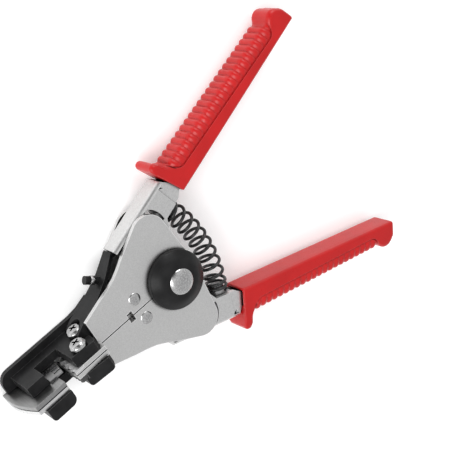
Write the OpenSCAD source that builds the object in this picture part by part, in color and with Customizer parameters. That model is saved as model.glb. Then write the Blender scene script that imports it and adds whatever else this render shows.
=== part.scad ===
// Automatic wire stripper pliers, lying on the far side, about 175 mm long when squeezed.
// X runs along the slit from the jaws (-X) to the grips (+X), Y from the gripper side (-Y)
// to the blade side (+Y), and Z is up. The origin is on the pivot axis, on the resting face.

/* [Body] */
// Thickness of the spacer between the innermost hub lugs
spacer_t = 0.6; // [0.4:0.1:0.8]
// Depth over the near and far half plates
body_depth = 13; // [13:0.1:13.6]
// Distance from the pivot to the front edge of the half plates
arm_front = 35.5; // [34:0.5:37]
// Greatest reach of a lobe from the slit
lobe_reach = 26.9; // [26.5:0.1:27.5]
// Distance from the pivot to the rear edge of the lobes
lobe_back = 9.5; // [9.2:0.1:10]
// Radius of the round top of a lobe
lobe_r = 7; // [6.8:0.1:7.5]
// Gap between the two webs at rest
slit_gap = 0.4; // [0.3:0.05:0.5]
// Length of the square window at the root of the slit
window_len = 2.2; // [1.5:0.1:3]

/* [Hub] */
// Diameter of the pivot rivet's shank
pivot_d = 6; // [5:0.1:6.4]
// Outer diameter of the hub bush that the moving lugs turn on
bush_d = 8.5; // [8:0.1:9]
// Diameter of the two hub washers
washer_d = 22; // [20:0.5:23]
// Thickness of the flat far washer
far_washer_t = 2.5; // [2.4:0.1:3]
// Crown height of the domed near washer
near_washer_t = 5.2; // [4.8:0.1:5.4]
// Diameter of the rivet's domed head
rivet_head_d = 9.5; // [8.5:0.1:10]
// Height of the rivet's dome above the washer's crown
rivet_dome_h = 1.6; // [1.4:0.1:2]
// Radius of the round hub lugs
lug_r = 8; // [7.6:0.1:8.2]
// Running gap between stacked lugs
lug_gap = 0.05; // [0.04:0.01:0.06]

/* [Head] */
// Thickness of the arm webs and tip plates
web_t = 1.6; // [1.4:0.1:1.8]
// Height of the head's near edge above the resting face
head_near = 21; // [20.6:0.1:22]
// Height of the head's far edge above the resting face
head_far = 0.4; // [0.2:0.1:0.6]
// Distance from the front edge of the half plates to the fixed cutting edge
mouth_out = 13.7; // [13.4:0.1:14.2]
// Distance from the fixed cutting edge to the tip at the near edge
tip_near_out = 17.4; // [17:0.1:18]
// Distance from the fixed cutting edge to the tip at the far edge
tip_far_out = 20.8; // [20.4:0.1:21.4]
// Number of wire notches
notches = 4; // [3:1:4]
// Spacing of the wire notches at the near edge
notch_pitch = 3.2; // [3:0.1:3.3]
// Depth of the smallest notch
notch_depth = 1.2; // [1:0.1:1.3]
// Clearance left between the blades when the mouth is shut
shut_gap = 0.3; // [0.2:0.05:0.5]

/* [Levers] */
// Thickness of the lever strip along the lobe
strip_t = 1.5; // [1.4:0.1:2]
// Height of the blade lever's face above the slit plane
beak_face = 6; // [5.8:0.1:6.2]
// Height of the gripper lever's face above the slit plane
gripper_face = 7; // [6.8:0.1:7.2]
// Height of the flange's top above the slit plane
flange_reach = 8.8; // [8.6:0.1:9.2]
// Diameter of the lever screws
screw_d = 3; // [2.5:0.1:3]
// Diameter of the screw heads
screw_head_d = 6.4; // [5.8:0.1:6.6]
// Height of the screw heads
screw_head_h = 2; // [1.7:0.1:2.2]
// Diameter of the link pins
link_pin_d = 2.4; // [2:0.1:2.4]

/* [Handles] */
// Angle of each handle from the slit at rest
handle_angle = 19.1; // [18.5:0.1:20]
// Turn of each handle that shuts its mouth
handle_swing = 12.5; // [11:0.5:13]
// Distance from the pivot to the handle's outer face
bar_out = 25.5; // [25:0.1:26]
// Distance from the pivot to the handle's inner edges
neck_in = 15; // [14.6:0.1:15.4]
// Distance along the handle to the front of the grip
grip_front = 27.6; // [27:0.1:28.5]
// Distance along the handle to the rear of the grip
grip_end = 102.4; // [98:0.2:108]
// Depth of the grips
grip_depth = 11.8; // [11.4:0.1:12]
// Number of ribs on each grip
ribs = 22; // [16:1:26]
// Height of the ribs
rib_h = 0.8; // [0.5:0.1:1]

/* [Spring] */
// Outer diameter of the compression spring
spring_d = 8.6; // [8.2:0.1:9]
// Diameter of the spring wire
wire_d = 1.2; // [1:0.05:1.3]
// Number of open coils
open_coils = 9; // [8:1:10]
// Extra lean of the spring at its ends, which bows it outwards
spring_lean = 6; // [3:0.5:8]

/* [Hidden] */

steel = [0.74, 0.74, 0.74];
bright = [0.88, 0.88, 0.9];
black = [0.1, 0.1, 0.11];
red = [0.78, 0.1, 0.12];

// One overrun for every cut
over = 1;
// Running clearance of a pin in its bore, on the radius
run_fit = 0.05;
// Clearance between sliding faces
slide_gap = 0.1;
// Clearance between bodies that pass each other
pass_gap = 0.3;
fine = 64;

// Heights of the half plates and the middle of the body
far_z = far_washer_t;
near_z = far_z + body_depth;
mid_z = (far_z + near_z) / 2;
// Thickness of the stamped sheet: eight layers of it and the spacer fill the hub
sheet_layers = 8;
sheet_t = (body_depth - spacer_t) / sheet_layers - lug_gap;
near_sheet_z = near_z - sheet_t;

// Places along the slit, measured from the pivot
mouth_fixed = arm_front + mouth_out;
tip_near = mouth_fixed + tip_near_out;
tip_far = mouth_fixed + tip_far_out;

// Steps of the lug stack, counted from the outside in: arm, other arm, handle, other handle
lug_step = sheet_t + lug_gap;
joggle_in = lug_r + pass_gap;
joggle_out = 10.8;
ring_clear = 0.5;
ring_in = joggle_out + ring_clear;
ring_w = 1.3;
ring_out = ring_in + ring_w;

module blade_side() {
    children();
}

module gripper_side() {
    mirror([0, 1, 0]) children();
}

// An extrusion between two heights
module slab(low, high) {
    translate([0, 0, low]) linear_extrude(high - low) children();
}

// The same slab at the near side and at the far side, mirrored about the middle
module both_slabs(low, high) {
    slab(low, high) children();
    slab(2 * mid_z - high, 2 * mid_z - low) children();
}

// An outline drawn in the X-Z plane, extruded along Y between two reaches
module upright(low, high) {
    translate([0, high, 0]) rotate([90, 0, 0]) linear_extrude(high - low) children();
}

// An outline drawn in the Y-Z plane, extruded along X between two places
module along(low, high) {
    translate([low, 0, 0]) rotate([90, 0, 90]) linear_extrude(high - low) children();
}

module box(low, high) {
    translate(low) cube(high - low);
}

function arc(centre, r, from, to, steps) =
    [for (i = [0:steps]) let (t = from + (to - from) * i / steps)
        [centre[0] + r * cos(t), centre[1] + r * sin(t)]];

// Arms: butterfly half plates and web
// Shares of arm_front and lobe_reach along the lobe's front side
lobe_side_shares = [[1, 0.368], [0.86, 0.432], [0.746, 0.484], [0.634, 0.528], [0.53, 0.582],
    [0.428, 0.663], [0.332, 0.752], [0.239, 0.829], [0.152, 0.9]];
lobe_taper = 1.6;
lobe_arc_from = 115;
lobe_arc_steps = 10;
// The front side of the far half plates is set back behind the lever strips
no_inset = [0, 0];
far_inset = [1.6, -2.8];
inset_points = 6;
// Share of lobe_back where the rear edge meets the hub
rear_corner_share = 0.37;
window_x = -22;
window_reach = 1.9;
cross_pin_x = -16.4;
cross_pin_y = 4.4;
cross_pin_d = 3.2;
cross_head_d = 4.7;
cross_head_h = 0.7;
web_clear = 0.9;
web_back = ring_out + web_clear;
web_face = slit_gap / 2 + web_t;
catch_window_len = 6.6;
catch_window_half = 1.4;
joggle_from = 32;
joggle_to = 160;
sector_steps = 24;

module lobe_outline(inset) {
    last = len(lobe_side_shares) - 1;
    side = [for (i = [0:last]) [-arm_front * lobe_side_shares[i][0], lobe_reach * lobe_side_shares[i][1]]
        + (i < inset_points ? inset : no_inset)];
    polygon(concat(
        [[-arm_front, slit_gap / 2]], side,
        arc([lobe_back - lobe_taper - lobe_r, lobe_reach - lobe_r], lobe_r, lobe_arc_from, 0, lobe_arc_steps),
        [[lobe_back, lobe_back * rear_corner_share], [slit_gap, slit_gap / 2]]));
}

// Sector of the joggle ring that ties a lowered lug to its half plate
module joggle_sector(inner, outer) {
    difference() {
        polygon(concat([[0, 0]], arc([0, 0], outer, joggle_from, joggle_to, sector_steps)));
        circle(inner, $fn = fine);
    }
}

// Web of an arm in the X-Z plane, from the tip edge back to the hub
module web_outline() {
    polygon([[-mouth_fixed, head_far], [-mouth_fixed, head_near], [-arm_front - slide_gap, head_near],
        [-arm_front - slide_gap, near_z], [-web_back, near_z], [-web_back, far_z],
        [-arm_front, far_z], [-arm_front - slide_gap, head_far]]);
}

// Slots in the web for the slide nuts, with a wider counter-slot on the inner face
module web_slots() {
    nut_neck_r = nut_neck_d / 2 + slide_gap;
    nut_flange_r = nut_flange_d / 2 + slide_gap;
    for (place = screw_places) {
        upright(-over, web_face + over) slot_outline(place, nut_neck_r);
        upright(-over, slit_gap / 2 + nut_flange_t + slide_gap) slot_outline(place, nut_flange_r);
    }
}

module slot_outline(place, r) {
    translate(place) circle(r, $fn = fine);
    translate([place[0] + lever_stroke, place[1]]) circle(r, $fn = fine);
    translate([place[0], place[1] - r]) square([lever_stroke, 2 * r]);
}

module half_plate_outline(lug_level, inset) {
    difference() {
        lobe_outline(inset);
        if (lug_level > 0) circle(joggle_in, $fn = fine);
    }
}

module arm_body(lug_level) {
    difference() {
        union() {
            slab(near_sheet_z, near_z) half_plate_outline(lug_level, no_inset);
            slab(far_z, far_z + sheet_t) half_plate_outline(lug_level, far_inset);
            upright(slit_gap / 2, web_face) web_outline();
            if (lug_level > 0) {
                both_slabs(near_sheet_z - lug_step, near_z) joggle_sector(joggle_in, joggle_out);
                both_slabs(near_sheet_z - lug_step, near_z - lug_step) {
                    circle(lug_r, $fn = fine);
                    joggle_sector(over, joggle_out);
                }
            } else {
                both_slabs(near_sheet_z, near_z) circle(lug_r, $fn = fine);
            }
        }
        web_slots();
        translate([window_x, -window_reach, near_z - sheet_t - over])
            cube([window_len, 2 * window_reach, sheet_t + 2 * over]);
        box([-web_back - catch_window_len, -over, mid_z - catch_window_half],
            [-web_back + over, web_face + over, mid_z + catch_window_half]);
        translate([cross_pin_x, cross_pin_y, 0])
            cylinder(d = cross_pin_d, h = near_z + over, $fn = fine);
        hub_bore = lug_level > 0 ? bush_d + 2 * run_fit : pivot_d;
        translate([0, 0, far_z - over]) cylinder(d = hub_bore, h = body_depth + 2 * over, $fn = fine);
    }
}

module blade_arm_frame() color(steel) difference() {
    arm_body(0);
    notch_cuts();
    blade_recess();
}

module gripper_arm_frame() color(steel) gripper_side() difference() {
    arm_body(1);
    rivet_holes(jaw_rivet_places, web_face + over);
}

// Hub
near_washer_rim = 2;
washer_crown_r = 5;
washer_steps = 9;
far_head_d = 9;
far_head_t = 1.2;

module pivot_rivet() color(bright) {
    dome_z = near_z + near_washer_t;
    head_r = rivet_head_d / 2;
    dome_r = (head_r * head_r + rivet_dome_h * rivet_dome_h) / (2 * rivet_dome_h);
    cylinder(d = far_head_d, h = far_head_t, $fn = fine);
    cylinder(d = pivot_d, h = dome_z, $fn = fine);
    translate([0, 0, dome_z]) rotate_extrude($fn = fine)
        intersection() {
            translate([0, rivet_dome_h - dome_r]) circle(dome_r, $fn = 2 * fine);
            square([head_r, rivet_dome_h]);
        }
}

module near_washer() color(black) translate([0, 0, near_z]) rotate_extrude($fn = fine) {
    rim = washer_d / 2;
    polygon(concat(
        [[pivot_d / 2, 0], [pivot_d / 2, near_washer_t], [washer_crown_r, near_washer_t]],
        [for (i = [1:washer_steps]) let (s = i / washer_steps)
            [washer_crown_r + (rim - washer_crown_r) * s,
             near_washer_rim + (near_washer_t - near_washer_rim) * cos(90 * s)]],
        [[rim, 0]]));
}

module far_washer() color(black) difference() {
    cylinder(d = washer_d, h = far_washer_t, $fn = fine);
    translate([0, 0, -over]) cylinder(d = pivot_d, h = far_washer_t + 2 * over, $fn = fine);
    translate([0, 0, -over]) cylinder(d = far_head_d, h = over + far_head_t, $fn = fine);
}

module hub_bush() color(bright) difference() {
    translate([0, 0, far_z + sheet_t]) cylinder(d = bush_d, h = body_depth - 2 * sheet_t, $fn = fine);
    cylinder(d = pivot_d, h = near_z + over, $fn = fine);
}

module hub_spacer() color(bright) translate([0, 0, mid_z - spacer_t / 2]) difference() {
    cylinder(r = lug_r, h = spacer_t, $fn = fine);
    translate([0, 0, -over]) cylinder(d = bush_d + 2 * run_fit, h = spacer_t + 2 * over, $fn = fine);
}

// Wire notches and blades
notch_half_angle = 46;
notch_growth = 0.3;
notch_spread = 0.17;
notch_first_up = 9.2;
notch_first_z = mid_z + notch_first_up;
blade_t = 0.8;
blade_len = 3.6;
blade_back = mouth_fixed - blade_len;
blade_tail_len = 8;
blade_tail_back = mouth_fixed - blade_tail_len;
blade_tail_top = 13.4;
blade_low = 2;
rivet_d = 1.6;
rivet_inset = 1.9;

// The notches grow from the near edge to the far edge
function notch_z(i) = notch_first_z - i * notch_pitch - i * i * notch_spread;

module notch_cuts() {
    for (i = [0:notches - 1]) {
        deep = notch_depth + notch_growth * i;
        half = (deep + over) * tan(notch_half_angle);
        upright(-over, web_face + over)
            polygon([[-mouth_fixed - over, notch_z(i) - half], [-mouth_fixed + deep, notch_z(i)],
                [-mouth_fixed - over, notch_z(i) + half]]);
    }
}

module blade_outline() {
    polygon([[-mouth_fixed, blade_low], [-mouth_fixed, head_near], [-blade_back, head_near],
        [-blade_back, blade_tail_top], [-blade_tail_back, blade_tail_top], [-blade_tail_back, blade_low]]);
}

module blade_recess() {
    upright(web_face - blade_t, web_face + over) {
        blade_outline();
        translate([-mouth_fixed - over, blade_low]) square([2 * over, head_near - blade_low + over]);
    }
    rivet_holes(blade_rivet_places, web_face);
}

blade_rivet_places = [[-blade_tail_back - rivet_inset, blade_low + rivet_inset],
    [-blade_tail_back - rivet_inset, blade_tail_top - rivet_inset]];

module rivet_holes(places, reach) {
    for (p = places) translate([p[0], -over, p[1]]) rotate([-90, 0, 0])
        cylinder(d = rivet_d, h = reach + over, $fn = fine / 2);
}

module rivet_set(places, from, to) {
    for (p = places) translate([p[0], from, p[1]]) rotate([-90, 0, 0])
        cylinder(d = rivet_d, h = to - from, $fn = fine / 2);
}

module v_notch_blade() color(bright) difference() {
    upright(web_face - blade_t, web_face) blade_outline();
    notch_cuts();
    rivet_holes(blade_rivet_places, web_face + over);
}

module v_notch_blade_rivets() color(bright)
    rivet_set(blade_rivet_places, slit_gap / 2, web_face);

// Stroke of a lever for the swing of its handle, from the link pin's own circle
link_u = -0.6;
link_w = 20.6;
link_r = norm([link_u, link_w]);
link_angle = handle_angle + atan2(link_w, link_u);
lever_stroke = link_r * (cos(link_angle - handle_swing) - cos(link_angle));
link_x = link_r * cos(link_angle);
link_y = link_r * sin(link_angle);
mouth_moving = mouth_fixed + lever_stroke + shut_gap;

// Fingers of the comb, which slide over the face of the fixed blade
finger_t = 0.8;
finger_root = 3;
finger_low = 5.2;
finger_high = 16.2;
finger_tips = [0.5, 2.2];
finger_slots = 4;
finger_slot_w = 0.8;
finger_slot_z = 7.3;
finger_pitch = 2.25;
finger_face = web_face + slide_gap + finger_t;
foot_rivet_inset = 7.6;
tip_bulge = 1.6;
tip_steps = 8;
tip_up = 0.4;
tip_top = head_near + tip_up;

// Tip plate in the X-Z plane: the moving edge of the mouth, and a bowed free end
module tip_outline() {
    polygon(concat(
        [[-mouth_moving, head_far], [-mouth_moving, tip_top]],
        [for (i = [0:tip_steps]) let (s = i / tip_steps)
            [-tip_near - (tip_far - tip_near) * s - tip_bulge * sin(180 * s),
             tip_top - (tip_top - head_far) * s]]));
}

foot_rivet_rises = [-4.5, 2.5];
foot_rivet_places = [for (z = foot_rivet_rises) [-mouth_moving - foot_rivet_inset, mid_z + z]];
foot_rivet_reach = 2.4;

module finger_outline() {
    difference() {
        polygon([[-mouth_moving - finger_root, finger_low], [-mouth_fixed - finger_tips[0], finger_low],
            [-mouth_fixed - finger_tips[1], finger_high], [-mouth_moving - finger_root, finger_high]]);
        for (i = [0:finger_slots - 1])
            translate([-mouth_moving, finger_slot_z + i * finger_pitch - finger_slot_w / 2])
                square([mouth_moving - mouth_fixed, finger_slot_w]);
    }
}

module comb_blade() color(bright) difference() {
    union() {
        upright(slit_gap / 2, web_face) tip_outline();
        upright(web_face + slide_gap, finger_face) finger_outline();
        upright(web_face - slide_gap, finger_face)
            translate([-mouth_moving - finger_root, finger_low])
                square([finger_root, finger_high - finger_low]);
    }
    rivet_holes(foot_rivet_places, web_face + over);
}

module comb_blade_rivets() color(bright)
    rivet_set(foot_rivet_places, slit_gap / 2, web_face + foot_rivet_reach);

// Gripping jaws of the other side: serrated faces
jaw_t = 1.9;
jaw_len = 4.6;
jaw_teeth = 9;
tooth_h = 0.5;
jaw_low = 2.8;
jaw_face = web_face + jaw_t;

// A face with teeth in the X-Z plane: x of the face, the body behind it at the given side
module toothed_outline(face_x, back_x, low, high, teeth, h) {
    dir = sign(back_x - face_x);
    pitch = (high - low) / teeth;
    polygon(concat([[back_x, low]],
        [for (i = [0:teeth - 1]) each [[face_x + dir * h, low + i * pitch],
            [face_x, low + (i + 0.5) * pitch]]],
        [[face_x + dir * h, high], [back_x, high]]));
}

jaw_rivet_rises = [-3.2, 4.4];
jaw_rivet_places = [for (z = jaw_rivet_rises) [-mouth_fixed + jaw_len - rivet_inset, mid_z + z]];

module gripper_fixed_jaw() color(bright) gripper_side() difference() {
    upright(web_face, jaw_face)
        toothed_outline(-mouth_fixed, -mouth_fixed + jaw_len, jaw_low, head_near, jaw_teeth, tooth_h);
    rivet_holes(jaw_rivet_places, jaw_face + over);
}

module gripper_fixed_jaw_rivets() color(bright) gripper_side()
    rivet_set(jaw_rivet_places, slit_gap / 2, jaw_face);

module gripper_tip_jaw() color(bright) gripper_side() difference() {
    union() {
        upright(slit_gap / 2, web_face) tip_outline();
        upright(web_face, jaw_face)
            toothed_outline(-mouth_moving, -mouth_moving - jaw_len, jaw_low, head_near, jaw_teeth, tooth_h);
    }
    rivet_holes(foot_rivet_places, web_face + over);
}

module gripper_tip_jaw_rivets() color(bright) gripper_side()
    rivet_set(foot_rivet_places, slit_gap / 2, web_face + foot_rivet_reach);

// Levers
tail_start = -13.6;
tail_drop = 0.6;
strip_end = -12.6;
// Outer side of the strip as shares of arm_front and lobe_reach, and of lobe_reach at its end
strip_shares = [[1.12, 0.271], [1.02, 0.349], [0.887, 0.413], [0.752, 0.478], [0.563, 0.6], [0.366, 0.785]];
strip_end_share = 0.788;
// Way from the outer to the inner side of the strip, for each millimetre of its thickness
strip_inward = [0.2, -1.12];
// Gusset that ties the strip to the plate of the lever, from its top to its foot
gusset_offsets = [[1.5, 7.4], [-0.1, 3], [-4.5, 3]];
gusset_points = [for (g = gusset_offsets) g - [arm_front, 0]];
strip_low = far_z + sheet_t + pass_gap + slide_gap;
strip_high = near_sheet_z - pass_gap;
// The near edge of the strip falls from its high end to its tail
strip_high_from = 0.82;
strip_tail_up = 0.4;
strip_tail_high = mid_z + strip_tail_up;
tail_half = 3;
fork_half_w = 2.6;
fork_up = 1.6;
fork_down = 2.6;
beak_low = web_face + slide_gap;
spine_far = 2.3;
spine_near = 7.6;
spine_back = arm_front + lever_stroke + pass_gap + slide_gap;
arch_in = 12.2;
gripper_arch_in = 13;
arch_front_in = 1.9;
arch_back = mouth_fixed - arch_in;
gripper_arch_back = mouth_fixed - gripper_arch_in;
arch_front = mouth_fixed - arch_front_in;
arch_nose_drop = 1.2;
arch_corner = 1;
foot_back_out = 8;
foot_front_out = 15.2;
foot_back = mouth_fixed + foot_back_out;
foot_front = mouth_fixed + foot_front_out;
foot_up = 6.8;
foot_near = mid_z + foot_up;
gripper_up = 1.4;
gripper_near = head_near + gripper_up;
corner_r = 2.6;
small_corner_r = 1.4;
flange_in = 2.5;
flange_back = arm_front - flange_in;
flange_low = 0.3;
flange_step = 3;
flange_root = 5.9;
flange_r = 4.4;
flange_tip_in = 1.6;
flange_arc_steps = 6;
// Tail of the flange under the root of the strip
flange_tail_offsets = [[3.7, 9.3], [9, 10.9], [10, 9.4]];
rear_slot_h = sheet_t + 2 * pass_gap;

// Screws through the arch of the C, in the X-Z plane
screw_offsets = [[10.6, 0.2], [6.7, 9]];
screw_places = [for (s = screw_offsets) [s[0] - mouth_fixed, mid_z + s[1]]];
nut_neck_d = 3.8;
nut_flange_d = 5.2;
nut_flange_t = 0.6;
screw_washer_t = 0.7;
screw_washer_d = 5.4;
gripper_seat = 4.6;
head_room = 0.2;

module strip_outline() {
    outer = [for (s = strip_shares) [-arm_front * s[0], lobe_reach * s[1]]];
    end_y = lobe_reach * strip_end_share;
    polygon(concat(outer, [[strip_end, end_y], [strip_end, end_y - strip_t]],
        [for (i = [len(outer) - 1:-1:2]) outer[i] + strip_t * strip_inward], gusset_points));
}

// Height of the strip in the X-Z plane
module strip_profile() {
    polygon([[-tip_far, strip_low], [-tip_far, strip_high], [-arm_front * strip_high_from, strip_high],
        [strip_end + over, strip_tail_high], [strip_end + over, strip_low]]);
}

module tail_outline() {
    tail_y = lobe_reach * strip_end_share - tail_drop;
    difference() {
        union() {
            polygon([[tail_start, tail_y], [tail_start, tail_y - strip_t],
                [link_x, link_y + fork_up - strip_t], [link_x, link_y + fork_up]]);
            translate([link_x - fork_half_w, link_y - fork_down])
                square([2 * fork_half_w, fork_down + fork_up]);
        }
        translate([link_x, link_y]) circle(d = link_pin_d + 2 * slide_gap, $fn = fine);
        translate([link_x - link_pin_d / 2 - slide_gap, link_y])
            square([link_pin_d + 2 * slide_gap, fork_up + over]);
    }
}

// Face of the C in the X-Z plane
module beak_outline(foot_z, foot_end, arch_z, arch_end) {
    polygon([[-foot_front, spine_far], [-foot_front, foot_z], [-foot_end, foot_z],
        [-foot_end, spine_near], [-arch_front, spine_near], [-arch_front, arch_z - arch_nose_drop],
        [-arch_end - arch_corner, arch_z], [-arch_end, arch_z - arch_corner], [-arch_end, strip_low],
        [-spine_back, strip_low], [-spine_back, spine_far]]);
}

// Flange along the far edge, in the X-Y plane
module flange_outline() {
    polygon(concat(
        [[-flange_back, flange_root], [-flange_back - 2 * flange_step, beak_low],
            [-tip_far + flange_tip_in, beak_low]],
        arc([-tip_far + flange_tip_in + flange_r, flange_reach - flange_r], flange_r, 180, 90,
            flange_arc_steps),
        [[-flange_back - flange_step, flange_reach]],
        [for (g = flange_tail_offsets) g - [arm_front, 0]]));
}

module lever_body(low, face, seat, foot_z, foot_end, arch_z, arch_end, pad_end) {
    difference() {
        union() {
            intersection() {
                slab(strip_low, strip_high) strip_outline();
                upright(-over, lobe_reach) strip_profile();
            }
            slab(mid_z - tail_half, strip_tail_high) tail_outline();
            upright(low, face) beak_outline(foot_z, foot_end, arch_z, arch_end);
            intersection() {
                upright(beak_low, face) beak_outline(foot_z, foot_end, arch_z, arch_end);
                slab(head_near + pass_gap, gripper_near + over)
                    translate([-tip_far, 0]) square([tip_far, 2 * face]);
            }
            slab(flange_low, spine_far) flange_outline();
            box([-foot_front, beak_low, spine_far], [-pad_end, low + slide_gap, foot_z]);
        }
        box([-arm_front - lever_stroke - pass_gap, -over, near_sheet_z - pass_gap],
            [-arch_end + over, face + over, near_sheet_z - pass_gap + rear_slot_h]);
        for (p = screw_places) translate([p[0], 0, p[1]]) rotate([-90, 0, 0]) {
            cylinder(d = screw_d, h = face + over, $fn = fine);
            cylinder(d = nut_neck_d + 2 * run_fit, h = low, $fn = fine);
            translate([0, 0, seat])
                cylinder(d = screw_head_d + 2 * head_room, h = 2 * face - seat, $fn = fine);
        }
        translate([0, web_face, 0]) rivet_holes(foot_rivet_places, foot_rivet_reach);
    }
}

// Recess in the spine for the lowest finger of the comb
module finger_recess() {
    box([-foot_back, -over, finger_low - slide_gap],
        [-arch_front, finger_face + slide_gap, spine_near + over]);
}

// Round cut for an outer corner of a tab; side points from the corner to the tab's middle
module corner_cut(x, face, r, side) {
    slab(spine_near, gripper_near + over) translate([x, face]) mirror([side < 0 ? 1 : 0, 0])
        difference() {
            translate([-slide_gap, -r]) square([r + slide_gap, r + over]);
            translate([r, -r]) circle(r, $fn = fine);
        }
}

module blade_lever() color(black) difference() {
    lever_body(beak_low, beak_face, beak_face, foot_near, foot_back, head_near, arch_back, foot_back);
    guide_pin_place() cylinder(d = guide_pin_d, h = 4 * strip_t, center = true, $fn = fine);
    finger_recess();
}

module gripper_lever() color(black) gripper_side() difference() {
    lever_body(jaw_face + slide_gap, gripper_face, gripper_seat, gripper_near, mouth_moving,
        gripper_near, gripper_arch_back, mouth_moving + jaw_len + slide_gap);
    corner_cut(-mouth_moving, gripper_face, corner_r, -1);
    corner_cut(-foot_front, gripper_face, small_corner_r, 1);
    corner_cut(-gripper_arch_back, gripper_face, corner_r, -1);
    corner_cut(-arch_front, gripper_face, small_corner_r, 1);
}

module screw_set(seat) {
    shank_from = slit_gap / 2 + slide_gap;
    head_from = seat + screw_washer_t;
    cross_w = 0.8;
    cross_len = 3.2;
    cross_deep = 1.1;
    edge = 0.6;
    cross_turns = [30, 120];
    for (p = screw_places) translate([p[0], 0, p[1]]) rotate([-90, 0, 0]) difference() {
        union() {
            translate([0, 0, shank_from])
                cylinder(d = screw_d, h = head_from - shank_from, $fn = fine);
            translate([0, 0, head_from]) rotate_extrude($fn = fine) polygon([[0, 0],
                [screw_head_d / 2, 0], [screw_head_d / 2, screw_head_h - 2 * edge],
                [screw_head_d / 2 - edge, screw_head_h - edge / 2],
                [screw_head_d / 2 - 2 * edge, screw_head_h], [0, screw_head_h]]);
        }
        for (turn = cross_turns) rotate([0, 0, turn])
            translate([-cross_len / 2, -cross_w / 2, head_from + screw_head_h - cross_deep])
                cube([cross_len, cross_w, cross_deep + over]);
    }
}

module ring_set(outer, inner, from, to) {
    for (p = screw_places) translate([p[0], from, p[1]]) rotate([-90, 0, 0]) difference() {
        cylinder(d = outer, h = to - from, $fn = fine);
        translate([0, 0, -over]) cylinder(d = inner, h = to - from + 2 * over, $fn = fine);
    }
}

// Nuts with a flange behind the web and a neck that reaches through its slot
module slide_nut_set(top) {
    for (p = screw_places) translate([p[0], slit_gap / 2 + slide_gap / 2, p[1]])
        rotate([-90, 0, 0]) difference() {
            union() {
                cylinder(d = nut_flange_d, h = nut_flange_t, $fn = fine);
                cylinder(d = nut_neck_d, h = top - slit_gap / 2 - slide_gap / 2, $fn = fine);
            }
            translate([0, 0, -over]) cylinder(d = screw_d, h = top + 2 * over, $fn = fine);
        }
}

module blade_lever_screws() color(bright) blade_side() screw_set(beak_face);
module gripper_lever_screws() color(bright) gripper_side() screw_set(gripper_seat);
module blade_screw_washers() color(black) blade_side()
    ring_set(screw_washer_d, screw_d, beak_face, beak_face + screw_washer_t);
module gripper_screw_washers() color(black) gripper_side()
    ring_set(screw_washer_d, screw_d, gripper_seat, gripper_seat + screw_washer_t);
module blade_slide_nuts() color(steel) blade_side() slide_nut_set(beak_low);
module gripper_slide_nuts() color(steel) gripper_side() slide_nut_set(jaw_face + slide_gap);

// Guide pin through the blade lever, with a bright collar
guide_pin_d = 2.5;
guide_pin_out = 4.1;
guide_pin_in = 2.6;
guide_head_d = 3.1;
guide_head_h = 2.2;
collar_d = 3.4;
collar_t = 1.6;
guide_pin_tilt = 50;
// Place of the pin on the strip as shares of arm_front and lobe_reach
guide_pin_shares = [0.583, 0.586];
guide_pin_drop = 1;

module guide_pin_place() {
    translate([-arm_front * guide_pin_shares[0], lobe_reach * guide_pin_shares[1] - strip_t / 2,
            mid_z - guide_pin_drop])
        rotate([0, 0, guide_pin_tilt]) rotate([-90, 0, 0]) children();
}

module lever_guide_pin() color(black) guide_pin_place() {
    translate([0, 0, -guide_pin_in]) cylinder(d = guide_pin_d, h = guide_pin_in + guide_pin_out, $fn = fine);
    translate([0, 0, guide_pin_out]) cylinder(d = guide_head_d, h = guide_head_h, $fn = fine);
}

module guide_pin_collar() color(bright) guide_pin_place() difference() {
    translate([0, 0, guide_pin_out - collar_t]) cylinder(d = collar_d, h = collar_t, $fn = fine);
    translate([0, 0, -over]) cylinder(d = guide_pin_d, h = guide_pin_out + 2 * over, $fn = fine);
}

// Handles, drawn along +X before they are turned to their rest angle
wall_gap = 0.2;
wall_high = near_sheet_z - wall_gap;
wall_low = wall_high - sheet_t;
sleeve_drop = 0.6;
bar_front = -4.7;
bar_lip = 2.3;
bar_edge_r = 2;
neck_step = 22;
neck_overlap = 2.6;
sleeve_lead = 3.2;
sleeve_step = grip_front - sleeve_lead;
sleeve_drop_in = 3.6;
sleeve_out = bar_out - sleeve_drop_in;
sleeve_lift = 2;
sleeve_in = neck_in + sleeve_lift;
shoulder_in = 1.3;
channel_margin = 12;
channel_end = grip_end - channel_margin;
// Side of the tongue that runs from the neck to the hub, and its other side up to the link pin
tongue_points = [[16, 14.8], [12.5, 10.5], [8, 3], [-7, 5], [-4.5, 16], [-3.6, 19.6]];
// Cut-out in the walls round the top of the lobe: middle, radii and angles in the handle's frame
cutout_middle = [7.3, 18.5];
cutout_radii = [5, 8.5];
cutout_angles = [-20, 66];
cutout_band = 0.8;
// Slot in the walls along the bend of the bar, from its front end to the cut-out
bend_slot = [[-5.7, 22.3], [5, 23.3], [8, 23.6]];

module upper_place() {
    rotate([0, 0, handle_angle]) children();
}

module lower_place() {
    mirror([0, 1, 0]) rotate([0, 0, handle_angle]) children();
}

// Wall of the channel from the front of the bar to the neck, with its tongue to the hub
module neck_outline() {
    polygon(concat([[bar_front, bar_out], [sleeve_step, bar_out], [sleeve_step, neck_in]],
        tongue_points, [[bar_front, bar_out - bar_lip]]));
}

module cutout_outline() {
    intersection() {
        polygon(concat(
            arc(cutout_middle, cutout_radii[1], cutout_angles[0], cutout_angles[1], sector_steps),
            arc(cutout_middle, cutout_radii[0], cutout_angles[1], cutout_angles[0], sector_steps)));
        translate([-bar_out, 0]) square([2 * bar_out, bar_out - cutout_band]);
    }
    slot_top = bar_out - sheet_t;
    polygon(concat(bend_slot, [[bend_slot[2][0], slot_top], [bend_slot[0][0], slot_top]]));
}

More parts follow.
